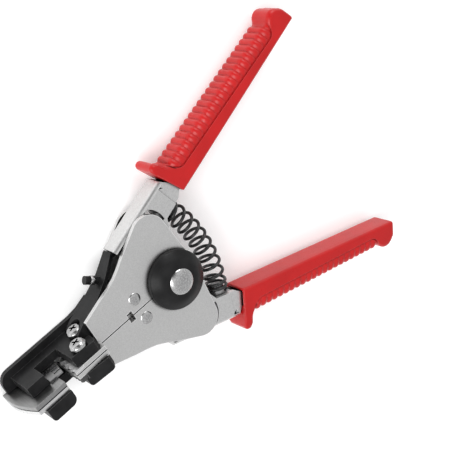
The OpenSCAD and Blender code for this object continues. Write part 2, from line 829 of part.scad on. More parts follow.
// Round cut along the near outer edge of the bar, in the Y-Z plane
module bar_edge_outline() {
    translate([bar_out - bar_edge_r, wall_high - bar_edge_r]) difference() {
        square(bar_edge_r + over);
        circle(bar_edge_r, $fn = fine);
    }
}

module sleeve_wall_outline() {
    polygon([[sleeve_step - neck_overlap, bar_out - sheet_t], [sleeve_step, sleeve_out],
        [channel_end, sleeve_out], [channel_end, sleeve_in], [grip_front, sleeve_in],
        [sleeve_step, neck_in], [neck_step, neck_in]]);
}

module handle_body(lug_level) {
    lug_high = near_z - lug_level * lug_step;
    lug_low = lug_high - sheet_t;
    difference() {
        union() {
            both_slabs(wall_low, wall_high) difference() {
                neck_outline();
                circle(ring_in, $fn = fine);
                cutout_outline();
                translate([neck_step, neck_in - over])
                    square([sleeve_step, bar_out - neck_in - sheet_t + over]);
            }
            both_slabs(lug_low, lug_high) {
                circle(lug_r, $fn = fine);
                intersection() {
                    neck_outline();
                    circle(ring_out, $fn = fine);
                }
            }
            both_slabs(lug_low, wall_high) intersection() {
                neck_outline();
                difference() {
                    circle(ring_out, $fn = fine);
                    circle(ring_in, $fn = fine);
                }
            }
            both_slabs(wall_low - sleeve_drop, wall_high - sleeve_drop) sleeve_wall_outline();
            slab(2 * mid_z - wall_high, wall_high) translate([bar_front, bar_out - sheet_t])
                square([sleeve_step - bar_front, sheet_t]);
            slab(2 * mid_z - wall_high + sleeve_drop, wall_high - sleeve_drop)
                polygon([[sleeve_step - sheet_t, bar_out - sheet_t / 2], [sleeve_step, bar_out],
                    [grip_front - shoulder_in, sleeve_out], [channel_end, sleeve_out],
                    [channel_end, sleeve_out - sheet_t], [sleeve_step, sleeve_out - sheet_t]]);
        }
        along(bar_front - over, sleeve_step + over) {
            bar_edge_outline();
            translate([0, 2 * mid_z]) mirror([0, 1]) bar_edge_outline();
        }
        cylinder(d = bush_d + 2 * run_fit, h = near_z + over, $fn = fine);
        translate([link_u, link_w, 0]) cylinder(d = link_pin_d, h = near_z + over, $fn = fine);
    }
}

module upper_handle() color(steel) upper_place() handle_body(2);
module lower_handle() color(steel) lower_place() handle_body(3);

module link_pin() {
    translate([link_u, link_w, 2 * mid_z - wall_high])
        cylinder(d = link_pin_d, h = 2 * (wall_high - mid_z), $fn = fine);
}

module upper_link_pin() color(bright) upper_place() link_pin();
module lower_link_pin() color(bright) lower_place() link_pin();

// Grips
grip_low = mid_z - grip_depth / 2;
grip_high = mid_z + grip_depth / 2;
grip_in_lift = 0.4;
grip_in = neck_in + grip_in_lift;
grip_corner = 0.6;
guard_lean = 2.4;
guard_h = 6.1;
guard_out = bar_out + guard_h;
// Round tip of the guard, from its front down to its back
guard_tip = [[0, -1], [0.5, 0], [1.8, 0.2]];
guard_arc_r = 4.6;
guard_arc_middle = [5.2, -1.4];
guard_arc_angles = [150, 188];
rib_lead = 4;
rib_start = grip_front + rib_lead;
rib_margin = 9.4;
rib_stop = grip_end - rib_margin;
rib_front_lift = 0.1;
rib_base_front = bar_out + rib_front_lift;
rib_back_drop = 2.6;
rib_base_back = bar_out - rib_back_drop;
rib_steps = 6;
// Lobe at the rear end of the grip
end_lobe_r = 3.7;
end_lobe_in = [4.6, 4.2];
end_lobe_angles = [125, 20];
end_lobe_start = 1.2;
end_belly = [0.6, 3.4];
// Band of small ridges on the side faces, from the outer face inwards
band_front = [0.4, 1.6];
band_bend = [3.2, 4.2];
band_back = [0.8, 4.2];
band_margin = 0.8;
ridge_clear = 1.6;
band_drop = 0.5;

function rib_base(u) = rib_base_front
    + (rib_base_back - rib_base_front) * (u - rib_start) / (rib_stop - rib_start);

// Scalloped edge along the outer face: one arch for each rib
function scallops(lift) = [for (i = [0:ribs - 1], k = [0:rib_steps - 1])
    let (u = rib_start + (i + k / rib_steps) * (rib_stop - rib_start) / ribs)
        [u, rib_base(u) + lift * sin(180 * k / rib_steps)]];

module grip_outline() {
    tip = [grip_front - guard_lean, guard_out];
    polygon(concat(
        [[grip_end - over, grip_in], [grip_front + grip_corner, grip_in],
            [grip_front, grip_in + grip_corner]],
        [for (p = guard_tip) tip + p],
        arc([grip_front, guard_out] + guard_arc_middle, guard_arc_r, guard_arc_angles[0],
            guard_arc_angles[1], rib_steps),
        scallops(rib_h),
        [[rib_stop, rib_base_back], [rib_stop + end_lobe_start, rib_base_back]],
        arc([grip_end, bar_out] - end_lobe_in, end_lobe_r, end_lobe_angles[0], end_lobe_angles[1],
            rib_steps),
        [[grip_end, neck_in] + end_belly, [grip_end, grip_in + over]]));
}

// Band of ribs along the outer border of the two side faces
module rib_band_outline() {
    polygon([[rib_start + band_front[0], rib_base_front + rib_h + over],
        [rib_start + band_front[0], rib_base_front - band_front[1]],
        [rib_start + band_bend[0], rib_base_front - band_bend[1]],
        [rib_stop - band_margin, rib_base_back - band_back[1] + band_back[0]],
        [rib_stop + band_margin, rib_base_back - band_margin],
        [rib_stop + band_margin, rib_base_back + rib_h + over]]);
}

// Small ridges that stand up in the band
module band_ridges() {
    pitch = (rib_stop - rib_start) / ribs;
    for (i = [1:ribs - 2]) {
        u = rib_start + (i + 0.5) * pitch;
        translate([u - pitch / 4, rib_base(u) - band_bend[1] + ridge_clear])
            square([pitch / 2, band_bend[1] - ridge_clear]);
    }
}

module grip_body() {
    difference() {
        slab(grip_low, grip_high) grip_outline();
        both_slabs(grip_high - band_drop, grip_high + over) difference() {
            rib_band_outline();
            band_ridges();
        }
        slab(2 * mid_z - wall_high + sleeve_drop, wall_high - sleeve_drop)
            translate([sleeve_step, sleeve_in])
                square([channel_end - sleeve_step, sleeve_out - sleeve_in]);
    }
}

module upper_grip() color(red) upper_place() grip_body();
module lower_grip() color(red) lower_place() grip_body();

// Spring seats in the necks, and the bowed spring between them
seat_u = 19.4;
seat_face = neck_in;
seat_len = 8.8;
seat_block = 3.4;
stud_clear = 0.8;
stud_d = spring_d - 2 * wire_d - stud_clear;
stud_len = 3.4;

module spring_seat() {
    half = wall_low - sleeve_drop - mid_z;
    translate([seat_u - seat_len / 2, seat_face, mid_z - half]) cube([seat_len, seat_block, 2 * half]);
    translate([seat_u, seat_face, mid_z]) rotate([90, 0, 0])
        cylinder(d = stud_d, h = stud_len, $fn = fine);
}

module upper_spring_seat() color(steel) upper_place() spring_seat();
module lower_spring_seat() color(steel) lower_place() spring_seat();

// The spring's middle line is an arc from seat to seat, and its wire a helix round that line
seat_r = norm([seat_u, seat_face]);
seat_turn = handle_angle + atan2(seat_face, seat_u);
seat_x = seat_r * cos(seat_turn);
seat_y = seat_r * sin(seat_turn);
end_turn = handle_angle + spring_lean;
bow_r = seat_y / sin(end_turn);
bow_x = seat_x - bow_r * cos(end_turn);
coil_r = (spring_d - wire_d) / 2;
close_coils = 2;
close_gap = 0.75;
close_pitch = wire_d + close_gap;
curl_rings = 8;
wire_sides = 6;
bow_len = 2 * bow_r * end_turn * PI / 180;
lead = wire_d;
close_len = close_coils * close_pitch;
open_len = bow_len - close_len - 2 * lead;
curls = open_coils + close_coils;
steps = curls * curl_rings;

function bow_angle(s) = end_turn - 2 * end_turn * s / bow_len;
function bow_point(s) = let (t = bow_angle(s)) [bow_x + bow_r * cos(t), bow_r * sin(t), mid_z];
function bow_out(s) = let (t = bow_angle(s)) [cos(t), sin(t), 0];
function coil_s(n) = n <= open_coils ? lead + open_len * n / open_coils
    : lead + open_len + (n - open_coils) * close_pitch;
function coil_point(n) = let (s = coil_s(n), t = 360 * n)
    bow_point(s) + coil_r * (cos(t) * bow_out(s) + sin(t) * [0, 0, 1]);

upper_normal = [-sin(handle_angle), cos(handle_angle), 0];
lower_normal = [-sin(handle_angle), -cos(handle_angle), 0];
first_point = coil_point(0);
last_point = coil_point(curls);
path = concat(
    [foot_on_seat(first_point, upper_normal)],
    [for (i = [0:steps]) coil_point(i / curl_rings)],
    [foot_on_seat(last_point, lower_normal)]);

// Where a line through p along the seat's normal meets the seat's face
function foot_on_seat(p, n) = p + n * (seat_face - p * n);

function path_dir(i) = let (a = path[max(i - 1, 0)], b = path[min(i + 1, len(path) - 1)])
    (i == 0 ? -upper_normal : i == len(path) - 1 ? lower_normal : (b - a) / norm(b - a));
function side_of(d) = let (c = cross(d, [0.2, 0.1, 1])) c / norm(c);
function wire_ring(i) = let (d = path_dir(i), u = side_of(d), v = cross(d, u))
    [for (k = [0:wire_sides - 1]) let (t = 360 * k / wire_sides)
        path[i] + wire_d / 2 * (cos(t) * u + sin(t) * v)];

module wire_tube() {
    count = len(path);
    points = [for (i = [0:count - 1]) each wire_ring(i)];
    sides = [for (i = [0:count - 2], k = [0:wire_sides - 1])
        let (a = i * wire_sides + k, b = i * wire_sides + (k + 1) % wire_sides)
            each [[a, b, b + wire_sides], [a, b + wire_sides, a + wire_sides]]];
    caps = [for (k = [1:wire_sides - 2]) each [[0, k + 1, k],
        [(count - 1) * wire_sides, (count - 1) * wire_sides + k, (count - 1) * wire_sides + k + 1]]];
    polyhedron(points, concat(sides, caps));
}

// Least gap between wire points that are at least half a curl apart
wire_gap = min([for (i = [0:len(path) - 1], j = [i + curl_rings / 2:len(path) - 1])
    norm(path[i] - path[j])]) - wire_d;
echo(wire_gap = wire_gap);

module return_spring() color(black) wire_tube();

// Cross pins of the arms, and the catch at the root of the slit
module cross_pin() {
    translate([cross_pin_x, cross_pin_y, far_z - cross_head_h]) {
        cylinder(d = cross_head_d, h = cross_head_h, $fn = fine);
        cylinder(d = cross_pin_d, h = body_depth + cross_head_h, $fn = fine);
    }
    translate([cross_pin_x, cross_pin_y, near_z]) rotate_extrude($fn = fine) {
        r = cross_head_d / 2;
        dome_r = (r * r + cross_head_h * cross_head_h) / (2 * cross_head_h);
        intersection() {
            translate([0, cross_head_h - dome_r]) circle(dome_r, $fn = fine);
            square([r, cross_head_h]);
        }
    }
}

module blade_arm_cross_pin() color(bright) blade_side() cross_pin();
module gripper_arm_cross_pin() color(bright) gripper_side() cross_pin();

catch_t = 2;
catch_eye_d = 5.6;
catch_nose = 3.9;
catch_nose_w = 1.4;

module slit_catch() color(black) slab(mid_z - catch_t / 2, mid_z + catch_t / 2) difference() {
    union() {
        translate([cross_pin_x, cross_pin_y]) circle(d = catch_eye_d, $fn = fine);
        translate([cross_pin_x, cross_pin_y - catch_eye_d / 2])
            square([catch_eye_d / 2, catch_eye_d / 2]);
        translate([cross_pin_x + cross_pin_d / 2 + pass_gap, -catch_nose])
            square([catch_nose_w, catch_nose + cross_pin_y]);
    }
    translate([cross_pin_x, cross_pin_y]) circle(d = cross_pin_d + 2 * run_fit, $fn = fine);
}

blade_arm_frame();
gripper_arm_frame();
pivot_rivet();
near_washer();
far_washer();
hub_bush();
hub_spacer();
v_notch_blade();
v_notch_blade_rivets();
gripper_fixed_jaw();
gripper_fixed_jaw_rivets();
blade_lever();
gripper_lever();
comb_blade();
comb_blade_rivets();
gripper_tip_jaw();
gripper_tip_jaw_rivets();
blade_lever_screws();
gripper_lever_screws();
blade_screw_washers();
gripper_screw_washers();
blade_slide_nuts();
gripper_slide_nuts();
lever_guide_pin();
guide_pin_collar();
upper_handle();
lower_handle();
upper_grip();
lower_grip();
upper_link_pin();
lower_link_pin();
upper_spring_seat();
lower_spring_seat();
return_spring();
blade_arm_cross_pin();
gripper_arm_cross_pin();
slit_catch();
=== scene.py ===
import math

import bpy
from mathutils import Matrix, Vector


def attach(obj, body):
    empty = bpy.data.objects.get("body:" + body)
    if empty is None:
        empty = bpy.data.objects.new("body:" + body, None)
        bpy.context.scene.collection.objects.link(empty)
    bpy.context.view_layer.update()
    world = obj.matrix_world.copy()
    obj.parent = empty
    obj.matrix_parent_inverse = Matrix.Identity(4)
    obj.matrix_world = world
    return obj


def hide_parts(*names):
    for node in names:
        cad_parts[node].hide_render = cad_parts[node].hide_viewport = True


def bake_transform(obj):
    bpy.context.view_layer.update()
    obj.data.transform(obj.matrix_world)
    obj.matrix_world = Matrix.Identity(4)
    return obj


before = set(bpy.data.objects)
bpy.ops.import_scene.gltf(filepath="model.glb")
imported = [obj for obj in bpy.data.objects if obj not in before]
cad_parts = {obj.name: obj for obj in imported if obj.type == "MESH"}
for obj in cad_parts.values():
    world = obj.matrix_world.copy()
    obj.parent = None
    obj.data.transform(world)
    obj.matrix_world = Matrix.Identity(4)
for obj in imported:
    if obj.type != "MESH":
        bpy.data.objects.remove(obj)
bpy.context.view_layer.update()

bl_info = {
    "name": "Wire Stripper Pliers Finish",
    "version": (1, 0, 0),
    "blender": (4, 5, 0),
    "location": "View3D > Sidebar > Pliers",
    "description": "Moulded grips, return spring, metal finishes, floor and lights for the pliers",
    "category": "Object",
}

MM = 0.001
# Height of the tool's middle plane in millimetres, and the angle of each handle to the X axis
MID_Z = 9.0
HANDLE_TURN = math.radians(19.1)

# The camera stands where the tool was photographed from
CAMERA_PLACE = (-0.1102, 0.1881, 0.3402)
CAMERA_RIGHT = (0.69964219, -0.44328885, 0.56035328)
CAMERA_UP = (0.62527731, 0.75936525, -0.17997974)
CAMERA_BACK = (-0.3457298, 0.47629761, 0.80846242)
CAMERA_LENS = 84.26
CAMERA_SENSOR = 36.0
CAMERA_CLIP = (0.01, 10)

# Darker parts of the room: direction, how near to it the tone starts to change, and tone
ROOM_PATCHES = (
    ((0.35, -0.48, 0.80), 0.35, (0.76, 0.76, 0.765)),
    ((-0.10, 0.82, 0.56), 0.84, (0.12, 0.12, 0.12)),
)

# Lamps: name, place, side length and share of the key light's power
LAMPS = (
    ("key_light", (-0.95, 0.25, 0.75), 0.7, 1.0),
    ("fill_light", (0.6, 0.95, 0.5), 0.6, 0.6),
)
LAMP_AIM = (0.02, 0, 0.01)

# The floor: half its side in millimetres, its roughness and the tone of its darker clouds
FLOOR_REACH = 3000
FLOOR_ROUGHNESS = 0.7
FLOOR_CLOUD = 0.985

# Painted shade in tight corners: its colour, and how far a corner reaches and how dark it gets
PAINTED_SHADE_COLOUR = (0.012, 0.012, 0.012)
CORNER_SHADE = (0.001, 0.8)
DEEP_SHADE = (0.0016, 1.0)
# Most values of a noise lie between these two
NOISE_LOW, NOISE_HIGH = 0.3, 0.7
SHADER_SAMPLES = 6
# Sockets of the mix node in its colour form: factor and two colours, and its result
MIX_INPUTS, MIX_RESULT = (0, 6, 7), 2
# Cosine between a flat and its rounded edge where the brighter edge (wear, and on the plates
# painted highlight) starts, and where it is full
BRIGHT_EDGE_START, BRIGHT_EDGE_FULL = 0.995, 0.86
# Share of open sky over a corner where its shade starts, and where it is full
SHADE_START, SHADE_FULL = 0.85, 0.4
# Grains in the relief: their share, and the height that all of it has
GRAIN_SHARE, GRAIN_BASE = 0.7, 0.15
# Heights of the finest relief, in metres
METAL_RELIEF, COAT_RELIEF, PLASTIC_RELIEF = 0.00005, 0.00008, 0.00006
# Grinding lines: share of their noise in the tone, and the tone that all of the metal has
LINE_TONE, LINE_BASE = 0.6, 0.2
# Tones against the main colour: darker clouds of plated and of polished metal and of plastic,
# the painted shade in the corners of plastic, and the matt black of small parts
PLATED_DARK, POLISHED_DARK, PLASTIC_DARK = 0.8, 0.55, 0.86
PLASTIC_CORNER_SHADE = 0.3
SMALL_BLACK = 0.8
# The black finish's lighter clouds, and how metallic the bare steel under it is
COAT_CLOUD, COAT_LIFT = 1.8, 0.004
BARE_METALLIC = 0.9
# Rubbed edges of the plastic: how pale, and how strong
RUBBED_PALER, RUBBED_SHARE = 0.16, 0.5
# How far the plastic's grains are smoother and duller than its setting
PLASTIC_ROUGHNESS = (-0.05, 0.07)
# Handles are a little lighter than the plates
HANDLE_LIGHTER = 1.03
# Rounding of the edges of blades and of fasteners against that of the sheet
BLADE_EDGE, FASTENER_EDGE = 0.5, 0.6

# Softening of the edges of the CAD nodes
WELD_REACH = 1e-6
SOFT_SEGMENTS = 2
SOFT_ANGLE = math.radians(32)

# Nodes that share a finish
PLATE_NODES = ("blade_arm_frame", "gripper_arm_frame")
HANDLE_NODES = ("upper_handle", "lower_handle")
GROUND_NODES = ("comb_blade",)
# The V-notch blade and the tip jaw take a lighter copy of the ground steel, painted light that
# lifts them out of the shade under the lever
SHADE_LIFTED_NODES = ("v_notch_blade", "gripper_tip_jaw")
SERRATED_NODES = ("gripper_fixed_jaw",)
POLISHED_NODES = (
    "pivot_rivet",
    "blade_lever_screws",
    "gripper_lever_screws",
    "guide_pin_collar",
    "blade_arm_cross_pin",
    "gripper_arm_cross_pin",
    "upper_link_pin",
    "lower_link_pin",
    "v_notch_blade_rivets",
    "gripper_fixed_jaw_rivets",
    "comb_blade_rivets",
    "gripper_tip_jaw_rivets",
)
BLACK_LEVER_NODES = ("blade_lever", "gripper_lever")
BLACK_SMALL_NODES = (
    "near_washer",
    "far_washer",
    "lever_guide_pin",
    "blade_screw_washers",
    "gripper_screw_washers",
    "slit_catch",
)
ZINC_NODES = (
    "hub_bush",
    "hub_spacer",
    "blade_slide_nuts",
    "gripper_slide_nuts",
    "upper_spring_seat",
    "lower_spring_seat",
)


def clamp(value, low=0.0, high=1.0):
    return max(low, min(high, value))


def smooth(value):
    value = clamp(value)
    return value * value * (3 - 2 * value)


def mix(a, b, share):
    return a + (b - a) * share


# Shader nodes


def add_node(tree, kind, **settings):
    node = tree.nodes.new(kind)
    for key, value in settings.items():
        setattr(node, key, value)
    return node


def set_inputs(node, **values):
    for key, value in values.items():
        node.inputs[key.replace("_", " ")].default_value = value


def feed(tree, source, socket):
    """Links a socket to an input, or sets the input to a plain number, direction or colour."""
    if hasattr(source, "links"):
        tree.links.new(source, socket)
    elif socket.type == "RGBA":
        socket.default_value = (*source, 1.0)
    else:
        socket.default_value = source


def math_node(tree, operation, *sources, clamped=False):
    """A maths node whose inputs are sockets or plain numbers."""
    node = add_node(tree, "ShaderNodeMath", operation=operation, use_clamp=clamped)
    for socket, source in zip(node.inputs, sources):
        feed(tree, source, socket)
    return node.outputs[0]


def mix_colour(tree, factor, a, b):
    """Mix of two colours, each a socket or a plain colour."""
    node = add_node(tree, "ShaderNodeMix", data_type="RGBA")
    for index, source in zip(MIX_INPUTS, (factor, a, b)):
        feed(tree, source, node.inputs[index])
    return node.outputs[MIX_RESULT]


def dot_product(tree, a, b):
    """Dot product of two vectors, each a socket or a plain direction."""
    node = add_node(tree, "ShaderNodeVectorMath", operation="DOT_PRODUCT")
    for socket, source in zip(node.inputs, (a, b)):
        feed(tree, source, socket)
    return node.outputs["Value"]


def noise_node(tree, place, **values):
    """A noise texture that is read at the given place."""
    node = add_node(tree, "ShaderNodeTexNoise")
    set_inputs(node, **values)
    tree.links.new(place, node.inputs["Vector"])
    return node


def ranged(tree, source, low, high, start=NOISE_LOW, stop=NOISE_HIGH, **settings):
    """Maps source from start..stop onto low..high."""
    node = add_node(tree, "ShaderNodeMapRange", **settings)
    tree.links.new(source, node.inputs["Value"])
    set_inputs(node, From_Min=start, From_Max=stop, To_Min=low, To_Max=high)
    return node.outputs["Result"]


def smooth_mask(tree, source, start, stop):
    """Mask that goes smoothly from zero at start to one at stop."""
    return ranged(tree, source, 0.0, 1.0, start, stop, interpolation_type="SMOOTHSTEP")


def new_group(name, inputs, outputs):
    """Shader node group with named number inputs and outputs, and its two end nodes."""
    group = bpy.data.node_groups.new(name, "ShaderNodeTree")
    kind = "NodeSocketFloat"
    for label, default in inputs:
        socket = group.interface.new_socket(label, in_out="INPUT", socket_type=kind)
        socket.default_value = default
    for label in outputs:
        group.interface.new_socket(label, in_out="OUTPUT", socket_type=kind)
    return group, add_node(group, "NodeGroupInput"), add_node(group, "NodeGroupOutput")


def object_place(tree):
    return add_node(tree, "ShaderNodeTexCoord").outputs["Object"]


def speckle_group():
    """Fine light and dark grains of a plated sheet or of moulded plastic."""
    group, given, result = new_group(
        "Fine speckle",
        (("Grain size", 0.0004), ("Cloud size", 0.008)),
        ("Grain", "Cloud", "Relief"),
    )
    place = object_place(group)
    values = {}
    for output, detail, roughness in (("Grain", 3.0, 0.65), ("Cloud", 4.0, 0.55)):
        noise = noise_node(group, place, Detail=detail, Roughness=roughness)
        scale = math_node(group, "DIVIDE", 1.0, given.outputs[output + " size"])
        group.links.new(scale, noise.inputs["Scale"])
        values[output] = noise.outputs["Fac"]
    values["Relief"] = math_node(group, "MULTIPLY_ADD", values["Grain"], GRAIN_SHARE, GRAIN_BASE)
    for output, value in values.items():
        group.links.new(value, result.inputs[output])
    return group


def edge_group():
    """Mask of brighter edges (worn, and on the plates painted highlight): one at an edge, zero on
    the flats, broken up by a noise.
    """
    group, given, result = new_group(
        "Edge wear and highlight", (("Width", 0.0003), ("Break up", 0.5)), ("Mask",))
    bevel = add_node(group, "ShaderNodeBevel", samples=SHADER_SAMPLES)
    group.links.new(given.outputs["Width"], bevel.inputs["Radius"])
    geometry = add_node(group, "ShaderNodeNewGeometry")
    flatness = dot_product(group, bevel.outputs["Normal"], geometry.outputs["Normal"])
    edge = smooth_mask(group, flatness, BRIGHT_EDGE_START, BRIGHT_EDGE_FULL)
    noise = noise_node(group, object_place(group), Scale=900.0, Detail=4.0, Roughness=0.6)
    broken = math_node(group, "MULTIPLY", noise.outputs["Fac"], given.outputs["Break up"])
    kept = math_node(group, "SUBTRACT", 1.0, broken)
    mask = math_node(group, "MULTIPLY", edge, kept, clamped=True)
    group.links.new(mask, result.inputs["Mask"])
    return group


def crevice_group():
    """Mask of painted shade in tight corners: one where other surfaces stand close, zero in the
    open.
    """
    group, given, result = new_group("Crevice shade", (("Reach", 0.001),), ("Mask",))
    closeness = add_node(group, "ShaderNodeAmbientOcclusion", samples=SHADER_SAMPLES)
    group.links.new(given.outputs["Reach"], closeness.inputs["Distance"])
    shade = smooth_mask(group, closeness.outputs["AO"], SHADE_START, SHADE_FULL)
    group.links.new(shade, result.inputs["Mask"])
    return group


def darkened(tree, colour, reach, depth, shade_colour=PAINTED_SHADE_COLOUR):
    """The colour with painted shade in its tight corners, where other surfaces stand close."""
    tight = placed(tree, "Crevice shade", crevice_group, Reach=reach)
    share = math_node(tree, "MULTIPLY", tight.outputs["Mask"], depth)
    return mix_colour(tree, share, colour, shade_colour)


def brushed_group():
    """Long fine lines left by grinding or rolling, across the X axis."""
    group, given, result = new_group(
        "Grinding lines", (("Line width", 0.0003), ("Line length", 0.01)), ("Lines",))
    parts = add_node(group, "ShaderNodeSeparateXYZ")
    group.links.new(object_place(group), parts.inputs[0])
    joined = add_node(group, "ShaderNodeCombineXYZ")
    for axis, measure in (("X", "Line width"), ("Y", "Line length"), ("Z", "Line length")):
        scaled = math_node(group, "DIVIDE", parts.outputs[axis], given.outputs[measure])
        group.links.new(scaled, joined.inputs[axis])
    noise = noise_node(group, joined.outputs[0], Scale=1.0, Detail=3.0, Roughness=0.6)
    group.links.new(noise.outputs["Fac"], result.inputs["Lines"])
    return group


def placed(tree, name, maker, **values):
    """A group's node in a material, with its own input values; the group is built once."""
    group = bpy.data.node_groups.get(name) or maker()
    node = add_node(tree, "ShaderNodeGroup")
    node.node_tree = group
    set_inputs(node, **values)
    return node


def new_material(name):
    material = bpy.data.materials.new(name)
    material.use_nodes = True
    tree = material.node_tree
    return material, tree, tree.nodes["Principled BSDF"]


def add_bump(tree, shader, height, strength, distance):
    bump = add_node(tree, "ShaderNodeBump")
    set_inputs(bump, Strength=strength, Distance=distance)
    tree.links.new(height, bump.inputs["Height"])
    tree.links.new(bump.outputs["Normal"], shader.inputs["Normal"])


def worn_and_lit_edges(tree, width, break_up, share=1.0):
    """Mask of the brighter edges, worn bare and on the plates painted highlight, no stronger than
    share.
    """
    worn = placed(tree, "Edge wear and highlight", edge_group, Width=width, Break_up=break_up)
    if share == 1.0:
        return worn.outputs["Mask"]
    return math_node(tree, "MULTIPLY", worn.outputs["Mask"], share, clamped=True)


def metal(name, dark, light, roughness, grain, wear, relief, lines=None, crevice=CORNER_SHADE):
    """Metal with clouds of grain, brighter edges, painted shade in its corners and, where given,
    grinding lines.

    wear holds width, break up and colour of the brighter edges: worn edges, and on the plates
    painted highlight;
    lines their width and length, crevice reach and depth of the painted shade in the corners.
    """
    material, tree, shader = new_material(name)
    speckle = placed(tree, "Fine speckle", speckle_group, Grain_size=grain, Cloud_size=0.009)
    rough = ranged(tree, speckle.outputs["Cloud"], *roughness)
    if lines:
        brushed = placed(
            tree, "Grinding lines", brushed_group, Line_width=lines[0], Line_length=lines[1])
        height = brushed.outputs["Lines"]
        tone = math_node(tree, "MULTIPLY_ADD", height, LINE_TONE, LINE_BASE)
    else:
        height = speckle.outputs["Relief"]
        tone = ranged(tree, speckle.outputs["Grain"], 0.0, 1.0)
    colour = mix_colour(tree, tone, dark, light)
    width, break_up, bare = wear
    # The brighter edges are wear, and on the plates a painted highlight along the rims
    colour = mix_colour(tree, worn_and_lit_edges(tree, width, break_up), colour, bare)
    # Painted shade: darker where other surfaces stand close
    colour = darkened(tree, colour, *crevice)
    tree.links.new(colour, shader.inputs["Base Color"])
    tree.links.new(rough, shader.inputs["Roughness"])
    shader.inputs["Metallic"].default_value = 1.0
    add_bump(tree, shader, height, relief, METAL_RELIEF)
    return material


def black_coat(name, base, bare, roughness, wear, relief=0.2, sheen=0.13):
    """Black finish over steel: the steel shows through along worn edges.

    wear holds width, break up and share of the worn edges.
    """
    material, tree, shader = new_material(name)
    speckle = placed(tree, "Fine speckle", speckle_group, Grain_size=0.0005, Cloud_size=0.006)
    tone = ranged(tree, speckle.outputs["Cloud"], 0.0, 1.0)
    lighter = tuple(min(1.0, c * COAT_CLOUD + COAT_LIFT) for c in base)
    shown = worn_and_lit_edges(tree, *wear)
    colour = mix_colour(tree, shown, mix_colour(tree, tone, base, lighter), bare)
    tree.links.new(colour, shader.inputs["Base Color"])
    metallic = math_node(tree, "MULTIPLY", shown, BARE_METALLIC)
    tree.links.new(metallic, shader.inputs["Metallic"])
    rough = ranged(tree, speckle.outputs["Grain"], *roughness)
    tree.links.new(rough, shader.inputs["Roughness"])
    shader.inputs["Specular IOR Level"].default_value = sheen
    add_bump(tree, shader, speckle.outputs["Relief"], relief, COAT_RELIEF)
    return material


def moulded_red(colour, sheen):
    """Red plastic: fine mould grain, faint clouds of tone, paler rubbed edges, painted shade in
    its grooves and corners.
    """
    material, tree, shader = new_material("Moulded red plastic")
    speckle = placed(tree, "Fine speckle", speckle_group, Grain_size=0.0006, Cloud_size=0.012)
    deep = tuple(c * PLASTIC_DARK for c in colour)
    tone = ranged(tree, speckle.outputs["Cloud"], 0.0, 1.0, start=0.35, stop=0.65)
    shade = mix_colour(tree, tone, deep, colour)
    rubbed = tuple(mix(c, 1.0, RUBBED_PALER) for c in colour)
    worn = worn_and_lit_edges(tree, width=0.0004, break_up=0.7, share=RUBBED_SHARE)
    shade = mix_colour(tree, worn, shade, rubbed)
    # Painted shade: the plastic's grooves and corners darken where other surfaces stand close
    corner = tuple(c * PLASTIC_CORNER_SHADE for c in colour)
    shade = darkened(tree, shade, reach=0.001, depth=0.6, shade_colour=corner)
    tree.links.new(shade, shader.inputs["Base Color"])
    low, high = (sheen + step for step in PLASTIC_ROUGHNESS)
    rough = ranged(tree, speckle.outputs["Grain"], low, high)
    tree.links.new(rough, shader.inputs["Roughness"])
    set_inputs(shader, IOR=1.5, Specular_IOR_Level=0.32)
    add_bump(tree, shader, speckle.outputs["Relief"], strength=0.16, distance=PLASTIC_RELIEF)
    return material


# Meshes


def mesh_piece(name, points, faces, material, sharp_angle):
    """Object from points in millimetres and faces, smooth apart from its sharp edges."""
    mesh = bpy.data.meshes.new(name)
    mesh.from_pydata([(x * MM, y * MM, z * MM) for x, y, z in points], [], faces)
    mesh.update()
    mesh.shade_smooth()
    mesh.set_sharp_from_angle(angle=math.radians(sharp_angle))
    mesh.materials.append(material)
    piece = bpy.data.objects.new(name, mesh)
    bpy.context.scene.collection.objects.link(piece)
    return piece


def tube_faces(rings, count):
    """Faces of a closed tube made of rings of count points each."""
    faces = []
    for first in range(0, (rings - 1) * count, count):
        second = first + count
        for k in range(count):
            n = (k + 1) % count
            faces.append((first + k, first + n, second + n, second + k))
    faces.append(tuple(range(count))[::-1])
    faces.append(tuple((rings - 1) * count + k for k in range(count)))
    return faces


def finish_nodes(names, material, bevel):
    """Gives CAD nodes their finish and, where bevel is over zero, softened edges."""
    for name in names:
        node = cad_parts[name]
        node.data.materials.clear()
        node.data.materials.append(material)
        if bevel <= 0:
            continue
        weld = node.modifiers.new("Weld", "WELD")
        weld.merge_threshold = WELD_REACH
        soft = node.modifiers.new("Soft edges", "BEVEL")
        soft.width = bevel
        soft.segments = SOFT_SEGMENTS
        soft.limit_method = "ANGLE"
        soft.angle_limit = SOFT_ANGLE
        soft.use_clamp_overlap = True
        soft.harden_normals = True
        node.modifiers.new("Even shading", "WEIGHTED_NORMAL").keep_sharp = True


# The grips, in the handle's own frame: u along the handle, w outwards, z up; all in millimetres
# Half the grip's depth, and the w of its inner edge
GRIP_HALF = 5.9
GRIP_INNER = 15.4
# The ribs: u where they start and stop, w of the valleys there, and stations to each rib
RIB_START, RIB_STOP = 31.6, 93.0
RIB_FRONT, RIB_BACK = 25.6, 22.9
RIB_STEPS = 8
# Outer edge of the guard from its front to the first rib
GUARD_EDGE = (
    (25.25, 30.6),
    (25.5, 31.35),
    (26.1, 31.75),
    (27.0, 31.85),
    (27.8, 31.55),
    (28.3, 30.9),
    (28.55, 30.0),
    (28.8, 29.0),
    (29.2, 28.0),
    (29.8, 27.0),
    (30.6, 26.2),
)
